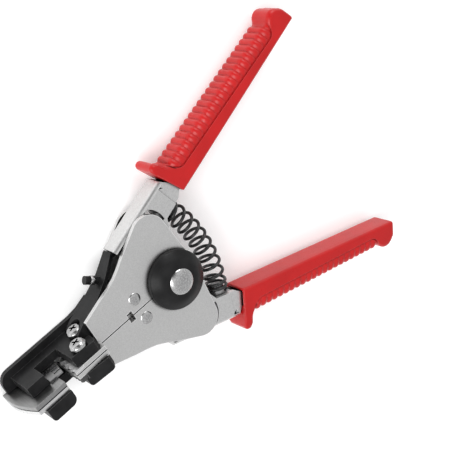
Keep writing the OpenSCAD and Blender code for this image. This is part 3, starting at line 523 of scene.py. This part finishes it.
# Outer edge of the lobe at the rear end, from the last rib to the end face
LOBE_EDGE = (
    (93.6, 22.9),
    (94.3, 23.0),
    (94.9, 23.4),
    (95.5, 24.0),
    (96.2, 24.55),
    (97.0, 24.88),
    (97.9, 25.0),
    (98.8, 24.85),
    (99.6, 24.5),
    (100.3, 23.95),
    (100.9, 23.3),
    (101.4, 22.5),
)
# How far the inner edge of a section stands behind its outer edge: at the front, and the u
# where that ends; at the rear end, and the u where that starts
FRONT_LEAN, FRONT_LEAN_END = 2.4, 35.0
END_LEAN, END_LEAN_START = 1.0, 94.0
# Corner radii of a section: outer ones at the guard, the ribs and the lobe, and the inner one
GUARD_CORNER, RIB_CORNER, LOBE_CORNER, INNER_CORNER = 1.3, 2.6, 1.9, 1.1
# The corner grows from this u on the guard, and shrinks over this length on the lobe
CORNER_GROWS = GUARD_EDGE[2][0]
LOBE_FADE = 3
# The ribbed band lies a little under the side: its depth, the width from which that is full,
# its full width, and the u at which it starts, is full, narrows again and ends
BAND_DROP, BAND_DROP_FADE = 0.5, 1.5
BAND_FULL = 5.8
BAND_ENDS = (30.9, 34.8, 90.2, 94.6)
# Height of the ribs on the side against those on the edge, the length over which it changes,
# and that over which a rib ends at the band's edge
SIDE_RIB_SHARE = 0.85
SIDE_FADE, BAND_EDGE_FADE = 3.0, 0.9
# Points of half a section: parts between its marks, which of them is the long side, and how
# strongly the points crowd towards its start
SECTION_PARTS = (4, 9, 2, 8, 4, 2)
SIDE_PART, SIDE_CROWDING = 3, 1.5
# The step at the band's edge: half its width, and how near it may come to the outer face and
# to the inner corner
STEP_HALF = 0.14
STEP_FROM_FACE, STEP_FROM_SIDE = 0.2, 0.4
# Lengths along a section that differ by less count as one
NO_LENGTH = 0.01
# Rings that round the rear end and the front lip: inset, and shift along the handle
TAIL_RINGS = ((0.12, 0.3), (0.45, 0.62), (1.1, 0.86), (2.4, 1.05))
LIP_RINGS = ((0.4, -0.2), (0.14, -0.12))
# Hollow at the front of the grip, round the sleeve of the handle
MOUTH_LOW, MOUTH_HIGH, MOUTH_HALF, MOUTH_DEPTH = 16.4, 22.4, 4.8, 9.0
MOUTH_CORNER = 0.9
# Rings of the hollow from its rim inwards: how much wider, and how deep
MOUTH_RIMS = ((0.25, -0.2), (0.0, 0.1), (0.0, MOUTH_DEPTH))
# Edges between faces that turn by more degrees than this stay sharp
GRIP_SHARP_ANGLE = 48
WIRE_SHARP_ANGLE = 50


def band_width(u):
    """Width of the ribbed band from the start of the outer corner, round onto the side."""
    front_end, front_full, back_full, back_end = BAND_ENDS
    if u <= front_end or u >= back_end:
        return 0.0
    if u < front_full:
        share = (front_full - u) / (front_full - front_end)
    elif u > back_full:
        share = (u - back_full) / (back_end - back_full)
    else:
        share = 0.0
    return BAND_FULL * math.sqrt(max(0.0, 1 - share * share))


def contour_lengths(half, length, outer_r, inner_r):
    """Distances from the outer middle to where outer face, outer arc, side and inner arc end."""
    outer_face = half - outer_r
    outer_arc = outer_face + outer_r * math.pi / 2
    side = outer_arc + length - outer_r - inner_r
    return outer_face, outer_arc, side, side + inner_r * math.pi / 2


def contour_stops(half, length, outer_r, inner_r, band):
    """Distances along half a section at which it has points, from the outer middle inwards."""
    outer_face, _, side, inner_arc = contour_lengths(half, length, outer_r, inner_r)
    last = inner_arc + half - inner_r
    step = clamp(outer_face + band, outer_face + STEP_FROM_FACE, side - STEP_FROM_SIDE)
    marks = (0.0, outer_face, step - STEP_HALF, step + STEP_HALF, side, inner_arc, last)
    stops = [0.0]
    for index, parts in enumerate(SECTION_PARTS):
        low, high = marks[index], marks[index + 1]
        for k in range(1, parts + 1):
            share = k / parts
            if index == SIDE_PART:
                share = share ** SIDE_CROWDING
            stops.append(mix(low, high, share))
    return stops, marks


def contour_point(c, half, length, outer_r, inner_r):
    """Point (a, z) and outward normal at distance c along half a section."""
    outer_face, outer_arc, side, inner_arc = contour_lengths(half, length, outer_r, inner_r)
    if c <= outer_face:
        return (length, c), (1.0, 0.0)
    if c <= outer_arc:
        turn = (c - outer_face) / outer_r
        n = (math.cos(turn), math.sin(turn))
        return (length - outer_r + outer_r * n[0], half - outer_r + outer_r * n[1]), n
    if c <= side:
        return (length - outer_r - (c - outer_arc), half), (0.0, 1.0)
    if c <= inner_arc:
        turn = (c - side) / inner_r
        n = (-math.sin(turn), math.cos(turn))
        return (inner_r + inner_r * n[0], half - inner_r + inner_r * n[1]), n
    return (0.0, half - inner_r - (c - inner_arc)), (-1.0, 0.0)


def section(length, outer_r, band=0.0, lift=0.0, drop=0.0, half=GRIP_HALF,
            inner_r=INNER_CORNER):
    """Closed ring of (a, z) points: a from the inner edge outwards, z across the grip."""
    stops, marks = contour_stops(half, length, outer_r, inner_r, band)
    upper = []
    for c in stops:
        (a, z), n = contour_point(c, half, length, outer_r, inner_r)
        moved = 0.0
        if c < marks[2] + NO_LENGTH:
            on_side = smooth((c - marks[1]) / SIDE_FADE)
            edge = smooth((marks[2] - c) / BAND_EDGE_FADE)
            moved = lift * mix(1.0, SIDE_RIB_SHARE, on_side) * mix(1.0, edge, on_side)
            moved -= drop * on_side
        upper.append((a + n[0] * moved, z + n[1] * moved))
    lower = [(a, -z) for a, z in upper[-2:0:-1]]
    return upper + lower


def grip_edge(settings):
    """Stations of the grip: outer point, corner radius and rib height."""
    rows = []
    for u, w in GUARD_EDGE:
        share = smooth((u - CORNER_GROWS) / (RIB_START - CORNER_GROWS))
        rows.append((u, w, mix(GUARD_CORNER, RIB_CORNER, share), 0.0))
    total = settings.ribs * RIB_STEPS
    for i in range(total + 1):
        t = i / total
        lift = settings.rib_height / MM * abs(math.sin(math.pi * i / RIB_STEPS))
        rows.append((mix(RIB_START, RIB_STOP, t), mix(RIB_FRONT, RIB_BACK, t), RIB_CORNER, lift))
    for u, w in LOBE_EDGE:
        share = smooth((u - RIB_STOP) / LOBE_FADE)
        rows.append((u, w, mix(RIB_CORNER, LOBE_CORNER, share), 0.0))
    return rows


def end_lean(u):
    """How far the inner edge of the section at u stands behind its outer edge."""
    front, back = GUARD_EDGE[0][0], LOBE_EDGE[-1][0]
    lean = FRONT_LEAN * (1 - smooth((u - front) / (FRONT_LEAN_END - front)))
    return lean + END_LEAN * smooth((u - END_LEAN_START) / (back - END_LEAN_START))


def inset_ring(ring, inset, shift):
    """The ring drawn in by inset on every side and moved along the handle by shift."""
    middle = [(min(p[k] for p in ring) + max(p[k] for p in ring)) / 2 for k in range(3)]
    reach = [max(abs(p[k] - middle[k]) for p in ring) for k in range(3)]
    shares = [1 - inset / reach[1], 1 - inset / reach[1], 1 - inset / reach[2]]
    moved = [[middle[k] + (p[k] - middle[k]) * shares[k] for k in range(3)] for p in ring]
    return [(x + shift, y, z) for x, y, z in moved]


def mouth_rings():
    """Rings of the hollow at the grip's front, from its rim inwards."""
    foot = Vector((GUARD_EDGE[0][0] + FRONT_LEAN, GRIP_INNER))
    axis = (Vector(GUARD_EDGE[0]) - foot).normalized()
    height = MOUTH_HIGH - MOUTH_LOW
    rims = []
    for grow, depth in MOUTH_RIMS:
        rim = []
        for a, z in section(height, MOUTH_CORNER, half=MOUTH_HALF, inner_r=MOUTH_CORNER):
            grown = a + grow * (2 * a / height - 1)
            place = foot + axis * (MOUTH_LOW - GRIP_INNER + grown)
            rim.append((place[0] + depth, place[1], z * (1 + grow / MOUTH_HALF)))
        rims.append(rim)
    return rims


def grip_points(settings):
    """Points (u, w, z) and faces of one grip: a closed skin with a hollow at its front."""
    rings = []
    for u, w, corner, lift in grip_edge(settings):
        inner = Vector((u + end_lean(u), GRIP_INNER))
        outer = Vector((u, w))
        axis = (outer - inner).normalized()
        band = band_width(u)
        drop = BAND_DROP * clamp(band / BAND_DROP_FADE)
        ring = section((outer - inner).length, corner, band, lift, drop)
        rings.append([(*(inner + axis * a), z) for a, z in ring])
    tail = [inset_ring(rings[-1], inset, shift) for inset, shift in TAIL_RINGS]
    lips = [inset_ring(rings[0], inset, shift) for inset, shift in LIP_RINGS]
    stack = mouth_rings()[::-1] + lips + rings + tail
    points = [p for ring in stack for p in ring]
    return points, tube_faces(len(stack), len(rings[0]))


def place_handle_point(point, side):
    """From the handle's own frame to the tool's: side is 1 for upper and -1 for lower."""
    u, w, z = point
    x = u * math.cos(HANDLE_TURN) - w * math.sin(HANDLE_TURN)
    y = u * math.sin(HANDLE_TURN) + w * math.cos(HANDLE_TURN)
    return (x, y * side, z + MID_Z)


# The return spring: a helix round an arc that runs from the upper seat to the lower one
# Distance of a seat's face from the handle's axis
SEAT_FACE = 15.0
# The arc: half its angle, radius, x of its middle, and length
END_TURN = math.radians(25.1)
BOW_R, BOW_X = 48.37, -30.38
BOW_LEN = 2 * BOW_R * END_TURN
# What the coils leave free at each end of the arc, and the points from there to the seat
LEAD = 1.2
LEAD_STEPS = 3
# Close coils at the lower end, and points to each coil and round the wire
CLOSE_COILS, CLOSE_PITCH = 2, 1.95
COIL_STEPS = 36
WIRE_SIDES = 14
# A direction that the wire's middle line never takes
WIRE_UP = Vector((0.2, 0.1, 1))
# Coils at which the wire is cut into three pieces
SPRING_CUTS = (3.3, 6.7)
# Length by which the end points of each piece are drawn in towards its middle
BLEND_INSET = 1.2


def bow_frame(s):
    """Point on the arc at length s, and its outward direction."""
    turn = END_TURN - 2 * END_TURN * s / BOW_LEN
    outward = Vector((math.cos(turn), math.sin(turn), 0))
    return Vector((BOW_X, 0, MID_Z)) + outward * BOW_R, outward


def coil_point(n, settings):
    """Point on the wire's middle after n coils."""
    open_len = BOW_LEN - CLOSE_COILS * CLOSE_PITCH - 2 * LEAD
    if n <= settings.open_coils:
        s = LEAD + open_len * n / settings.open_coils
    else:
        s = LEAD + open_len + (n - settings.open_coils) * CLOSE_PITCH
    middle, outward = bow_frame(s)
    radius = (settings.spring_width - settings.wire_width) / 2 / MM
    turn = 2 * math.pi * n
    return middle + radius * (math.cos(turn) * outward + math.sin(turn) * Vector((0, 0, 1)))


def seat_foot(point, side):
    """Foot of the point on the face of the spring seat on the given side."""
    normal = Vector((-math.sin(HANDLE_TURN), side * math.cos(HANDLE_TURN), 0))
    return point + normal * (SEAT_FACE - point.dot(normal))


def spring_path(settings):
    """All points along the wire's middle, and the index of each cut."""
    coils = settings.open_coils + CLOSE_COILS
    marks = [i / COIL_STEPS for i in range(coils * COIL_STEPS + 1)]
    path = [coil_point(n, settings) for n in marks]
    cuts = [min(range(len(marks)), key=lambda i: abs(marks[i] - c)) for c in SPRING_CUTS]
    shares = [k / LEAD_STEPS for k in range(LEAD_STEPS + 1)]
    first = [seat_foot(path[0], 1).lerp(path[0], share) for share in shares[:-1]]
    last = [path[-1].lerp(seat_foot(path[-1], -1), share) for share in shares[1:]]
    return first + path + last, [c + len(first) for c in cuts]


def wire_tube(path, radius, low, high):
    """Tube round path[low..high]; its rings match those of the neighbouring piece."""
    points = []
    for i in range(low, high + 1):
        before, after = path[max(i - 1, 0)], path[min(i + 1, len(path) - 1)]
        along = (after - before).normalized()
        side = along.cross(WIRE_UP).normalized()
        other = along.cross(side)
        for k in range(WIRE_SIDES):
            t = 2 * math.pi * k / WIRE_SIDES
            points.append(tuple(path[i] + radius * (math.cos(t) * side + math.sin(t) * other)))
    return points, tube_faces(high - low + 1, WIRE_SIDES)


# Settings that a user would change


class PliersGripSettings(bpy.types.PropertyGroup):
    ribs: bpy.props.IntProperty(
        name="Ribs", description="Number of ribs on each grip", default=22, min=8, max=40)
    rib_height: bpy.props.FloatProperty(
        name="Rib height", description="Height of a rib above its valley",
        default=0.0007, min=0.0, max=0.002, precision=5, unit="LENGTH")
    colour: bpy.props.FloatVectorProperty(
        name="Grip colour", description="Colour of the moulded plastic",
        default=(0.48, 0.0065, 0.007), min=0.0, max=1.0, size=3, subtype="COLOR")
    sheen: bpy.props.FloatProperty(
        name="Grip roughness", description="How dull the plastic is",
        default=0.32, min=0.1, max=0.9, subtype="FACTOR")


class PliersSpringSettings(bpy.types.PropertyGroup):
    wire_width: bpy.props.FloatProperty(
        name="Wire diameter", description="Diameter of the spring wire",
        default=0.0012, min=0.0005, max=0.002, precision=5, unit="LENGTH")
    spring_width: bpy.props.FloatProperty(
        name="Spring diameter", description="Outer diameter of the coils",
        default=0.0086, min=0.005, max=0.012, precision=5, unit="LENGTH")
    open_coils: bpy.props.IntProperty(
        name="Open coils", description="Coils with space between them", default=9, min=4, max=14)


class PliersMetalSettings(bpy.types.PropertyGroup):
    nickel: bpy.props.FloatVectorProperty(
        name="Plated sheet", description="Colour of the satin plated sheet",
        default=(0.66, 0.66, 0.655), min=0.0, max=1.0, size=3, subtype="COLOR")
    polished: bpy.props.FloatVectorProperty(
        name="Polished steel", description="Colour of the rivet, pins and screws",
        default=(0.55, 0.55, 0.55), min=0.0, max=1.0, size=3, subtype="COLOR")
    black: bpy.props.FloatVectorProperty(
        name="Black finish", description="Colour of the blackened parts",
        default=(0.007, 0.007, 0.0073), min=0.0, max=1.0, size=3, subtype="COLOR")
    soft_edge: bpy.props.FloatProperty(
        name="Edge rounding", description="Width of the softened edges",
        default=0.00018, min=0.0, max=0.0006, precision=5, unit="LENGTH")


class PliersStageSettings(bpy.types.PropertyGroup):
    floor: bpy.props.FloatVectorProperty(
        name="Floor", description="Colour of the floor",
        default=(0.93, 0.93, 0.93), min=0.0, max=1.0, size=3, subtype="COLOR")
    floor_glow: bpy.props.FloatProperty(
        name="Floor glow", description="Light that comes up through the floor",
        default=0.15, min=0.0, max=1.0)
    daylight: bpy.props.FloatProperty(
        name="Room light", description="Strength of the light from all round",
        default=1.0, min=0.0, max=4.0)
    key_power: bpy.props.FloatProperty(
        name="Key light", description="Power of the large soft light",
        default=9.0, min=0.0, max=60.0, unit="POWER")


def settings_of(context):
    scene = context.scene
    return scene.pliers_grips, scene.pliers_spring, scene.pliers_metal, scene.pliers_stage


# One operator for each piece or group of like pieces


class PLIERS_OT_grips(bpy.types.Operator):
    """Make the two moulded grips with their guards, ribs and end lobes"""

    bl_idname = "pliers.grips"
    bl_label = "Red grips"

    def execute(self, context):
        grips = settings_of(context)[0]
        red = moulded_red(tuple(grips.colour), grips.sheen)
        points, faces = grip_points(grips)
        for name, side, body in (
            ("upper_moulded_grip", 1, "upper_handle_body"),
            ("lower_moulded_grip", -1, "lower_handle_body"),
        ):
            placed_points = [place_handle_point(p, side) for p in points]
            turned = faces if side < 0 else [f[::-1] for f in faces]
            grip = mesh_piece(name, placed_points, turned, red, GRIP_SHARP_ANGLE)
            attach(grip, body)
            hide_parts(name.replace("moulded_", ""))
        return {"FINISHED"}


class PLIERS_OT_spring(bpy.types.Operator):
    """Make the bowed return spring in three pieces"""

    bl_idname = "pliers.spring"
    bl_label = "Return spring"

    def execute(self, context):
        spring = settings_of(context)[1]
        wire = black_coat(
            "Oiled spring wire", (0.012, 0.012, 0.0125), bare=(0.3, 0.3, 0.3),
            roughness=(0.24, 0.36), wear=(0.0002, 0.8, 0.1), sheen=0.35)
        path, cuts = spring_path(spring)
        radius = spring.wire_width / 2 / MM
        bounds = (0, *cuts, len(path) - 1)
        names = ("spring_upper_coils", "spring_middle_coils", "spring_lower_coils")
        for k, name in enumerate(names):
            low, high = bounds[k], bounds[k + 1]
            points, faces = wire_tube(path, radius, low, high)
            piece = mesh_piece(name, points, faces, wire, WIRE_SHARP_ANGLE)
            start, end = path[low].copy(), path[high].copy()
            start.z = end.z = MID_Z
            inset = (end - start).normalized() * BLEND_INSET
            start, end = start + inset, end - inset
            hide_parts("return_spring")
            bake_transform(piece)
        return {"FINISHED"}


class PLIERS_OT_plates(bpy.types.Operator):
    """Give the pressed plates of both arms their satin plated finish"""

    bl_idname = "pliers.plates"
    bl_label = "Pressed plates"

    def execute(self, context):
        metals = settings_of(context)[2]
        light = tuple(metals.nickel)
        dark = tuple(c * PLATED_DARK for c in light)
        # The plates' white edges are painted highlight along their rims, and their corners get
        # painted shade
        finish = metal(
            "Satin plated sheet", dark, light, roughness=(0.34, 0.44), grain=0.00035,
            wear=(0.0006, 0.35, (1.0, 1.0, 1.0)), relief=0.16, crevice=DEEP_SHADE)
        finish_nodes(PLATE_NODES, finish, metals.soft_edge)
        return {"FINISHED"}


class PLIERS_OT_handles(bpy.types.Operator):
    """Give the folded handles their brighter plated finish"""

    bl_idname = "pliers.handles"
    bl_label = "Folded handles"

    def execute(self, context):
        metals = settings_of(context)[2]
        light = tuple(min(1.0, c * HANDLE_LIGHTER) for c in metals.nickel)
        dark = tuple(c * PLATED_DARK for c in light)
        finish = metal(
            "Bright plated handle", dark, light, roughness=(0.28, 0.4), grain=0.0005,
            wear=(0.0003, 0.6, (0.9, 0.9, 0.9)), relief=0.12, crevice=DEEP_SHADE)
        finish_nodes(HANDLE_NODES, finish, metals.soft_edge)
        return {"FINISHED"}


class PLIERS_OT_blades(bpy.types.Operator):
    """Give the blades and jaws their ground steel finish"""

    bl_idname = "pliers.blades"
    bl_label = "Blades and jaws"

    def execute(self, context):
        metals = settings_of(context)[2]
        for names, label, dark, light, crevice in (
            (GROUND_NODES, "Ground blade steel", 0.16, 0.42, DEEP_SHADE),
            # Painted light: a lighter copy of the ground steel for parts that lie in the lever's
            # shade
            (SHADE_LIFTED_NODES, "Ground steel lit copy", 0.5, 0.85, (0.0006, 0.8)),
            (SERRATED_NODES, "Dark serrated steel", 0.04, 0.16, CORNER_SHADE),
        ):
            finish = metal(
                label, (dark,) * 3, (light,) * 3, roughness=(0.24, 0.36), grain=0.0004,
                wear=(0.00008, 0.5, (0.9, 0.9, 0.9)), relief=0.2, lines=(0.00025, 0.006),
                crevice=crevice)
            finish_nodes(names, finish, metals.soft_edge * BLADE_EDGE)
        return {"FINISHED"}


class PLIERS_OT_fasteners(bpy.types.Operator):
    """Give the rivets, screws and pins their polished finish"""

    bl_idname = "pliers.fasteners"
    bl_label = "Rivets, screws and pins"

    def execute(self, context):
        metals = settings_of(context)[2]
        light = tuple(metals.polished)
        dark = tuple(c * POLISHED_DARK for c in light)
        # The corners round the heads get full painted shade
        finish = metal(
            "Polished steel", dark, light, roughness=(0.14, 0.24), grain=0.0006,
            wear=(0.0001, 0.6, (0.7, 0.7, 0.7)), relief=0.5, crevice=(0.0014, 1.0))
        finish_nodes(POLISHED_NODES, finish, metals.soft_edge * FASTENER_EDGE)
        return {"FINISHED"}


class PLIERS_OT_levers(bpy.types.Operator):
    """Give the two sliding jaw levers their black finish with bare edges"""

    bl_idname = "pliers.levers"
    bl_label = "Black levers"

    def execute(self, context):
        metals = settings_of(context)[2]
        finish = black_coat(
            "Black oxide lever", tuple(metals.black), bare=(0.5, 0.5, 0.5),
            roughness=(0.3, 0.45), wear=(0.0002, 0.9, 0.3))
        finish_nodes(BLACK_LEVER_NODES, finish, metals.soft_edge)
        return {"FINISHED"}


class PLIERS_OT_black_parts(bpy.types.Operator):
    """Give the washers, guide pin and catch their black finish"""

    bl_idname = "pliers.black_parts"
    bl_label = "Black washers and pin"

    def execute(self, context):
        metals = settings_of(context)[2]
        finish = black_coat(
            "Black satin coat", tuple(c * SMALL_BLACK for c in metals.black), bare=(0.3, 0.3, 0.3),
            roughness=(0.3, 0.42), wear=(0.0003, 0.8, 0.2), relief=0.12)
        finish_nodes(BLACK_SMALL_NODES, finish, metals.soft_edge)
        return {"FINISHED"}


class PLIERS_OT_inner_parts(bpy.types.Operator):
    """Give the parts inside the hub and the necks their zinc finish"""

    bl_idname = "pliers.inner_parts"
    bl_label = "Parts inside"

    def execute(self, context):
        metals = settings_of(context)[2]
        finish = metal(
            "Dull zinc", (0.32, 0.32, 0.33), (0.46, 0.46, 0.46), roughness=(0.4, 0.55),
            grain=0.0006, wear=(0.0003, 0.6, (0.6, 0.6, 0.6)), relief=0.2)
        finish_nodes(ZINC_NODES, finish, metals.soft_edge)
        return {"FINISHED"}


class PLIERS_OT_stage(bpy.types.Operator):
    """Set the camera, the pale floor and the soft light round the tool"""

    bl_idname = "pliers.stage"
    bl_label = "Stage"

    def execute(self, context):
        stage = settings_of(context)[3]
        scene = context.scene
        lens = bpy.data.cameras.new("camera")
        lens.lens, lens.sensor_width = CAMERA_LENS, CAMERA_SENSOR
        lens.clip_start, lens.clip_end = CAMERA_CLIP
        camera = bpy.data.objects.new("camera", lens)
        axes = Matrix((CAMERA_RIGHT, CAMERA_UP, CAMERA_BACK)).transposed().to_4x4()
        camera.matrix_world = Matrix.Translation(CAMERA_PLACE) @ axes
        scene.collection.objects.link(camera)
        scene.camera = camera
        scene.view_settings.view_transform = "Standard"
        scene.view_settings.look = "None"

        material, tree, shader = new_material("Pale floor")
        speckle = placed(tree, "Fine speckle", speckle_group, Grain_size=0.02, Cloud_size=0.4)
        tone = ranged(tree, speckle.outputs["Cloud"], 0.0, 1.0)
        darker = tuple(c * FLOOR_CLOUD for c in stage.floor)
        tree.links.new(mix_colour(tree, tone, darker, stage.floor), shader.inputs["Base Color"])
        set_inputs(shader, Roughness=FLOOR_ROUGHNESS, Emission_Color=(1.0, 1.0, 1.0, 1.0),
                   Emission_Strength=stage.floor_glow)
        corners = [(x * FLOOR_REACH, y * FLOOR_REACH, 0)
                   for x, y in ((-1, -1), (1, -1), (1, 1), (-1, 1))]
        floor = mesh_piece("floor", corners, [(0, 1, 2, 3)], material, sharp_angle=30)

        world = bpy.data.worlds.new("Soft room")
        scene.world = world
        world.use_nodes = True
        nodes = world.node_tree
        back = nodes.nodes["Background"]
        place = add_node(nodes, "ShaderNodeTexCoord").outputs["Generated"]
        colour = (1.0, 1.0, 1.0)
        for toward, start, tone in ROOM_PATCHES:
            nearness = dot_product(nodes, place, Vector(toward).normalized())
            share = smooth_mask(nodes, nearness, start, 1.0)
            colour = mix_colour(nodes, share, colour, tone)
        nodes.links.new(colour, back.inputs["Color"])
        back.inputs["Strength"].default_value = stage.daylight

        for name, lamp_place, size, share in LAMPS:
            light = bpy.data.lights.new(name, "AREA")
            light.shape, light.size = "SQUARE", size
            light.energy = stage.key_power * share
            lamp = bpy.data.objects.new(name, light)
            away = Vector(lamp_place) - Vector(LAMP_AIM)
            turn = away.to_track_quat("Z", "Y").to_matrix().to_4x4()
            lamp.matrix_world = Matrix.Translation(lamp_place) @ turn
            scene.collection.objects.link(lamp)
        return {"FINISHED"}


OPERATORS = (
    PLIERS_OT_stage,
    PLIERS_OT_grips,
    PLIERS_OT_spring,
    PLIERS_OT_plates,
    PLIERS_OT_handles,
    PLIERS_OT_blades,
    PLIERS_OT_fasteners,
    PLIERS_OT_levers,
    PLIERS_OT_black_parts,
    PLIERS_OT_inner_parts,
)


class VIEW3D_PT_pliers(bpy.types.Panel):
    bl_label = "Stripper pliers"
    bl_idname = "VIEW3D_PT_pliers"
    bl_space_type = "VIEW_3D"
    bl_region_type = "UI"
    bl_category = "Pliers"

    def draw(self, context):
        layout = self.layout
        for group in settings_of(context):
            box = layout.box()
            for key in group.__annotations__:
                box.prop(group, key)
        for operator in OPERATORS:
            layout.operator(operator.bl_idname)


GROUPS = {
    "pliers_grips": PliersGripSettings,
    "pliers_spring": PliersSpringSettings,
    "pliers_metal": PliersMetalSettings,
    "pliers_stage": PliersStageSettings,
}


def register():
    for cls in (*GROUPS.values(), *OPERATORS, VIEW3D_PT_pliers):
        bpy.utils.register_class(cls)
    for key, cls in GROUPS.items():
        setattr(bpy.types.Scene, key, bpy.props.PointerProperty(type=cls))


def unregister():
    for key in GROUPS:
        delattr(bpy.types.Scene, key)
    for cls in (VIEW3D_PT_pliers, *reversed(OPERATORS), *reversed(list(GROUPS.values()))):
        bpy.utils.unregister_class(cls)


def main():
    register()
    for operator in OPERATORS:
        section_name, action = operator.bl_idname.split(".")
        getattr(getattr(bpy.ops, section_name), action)()


if __name__ == "__main__":
    main()
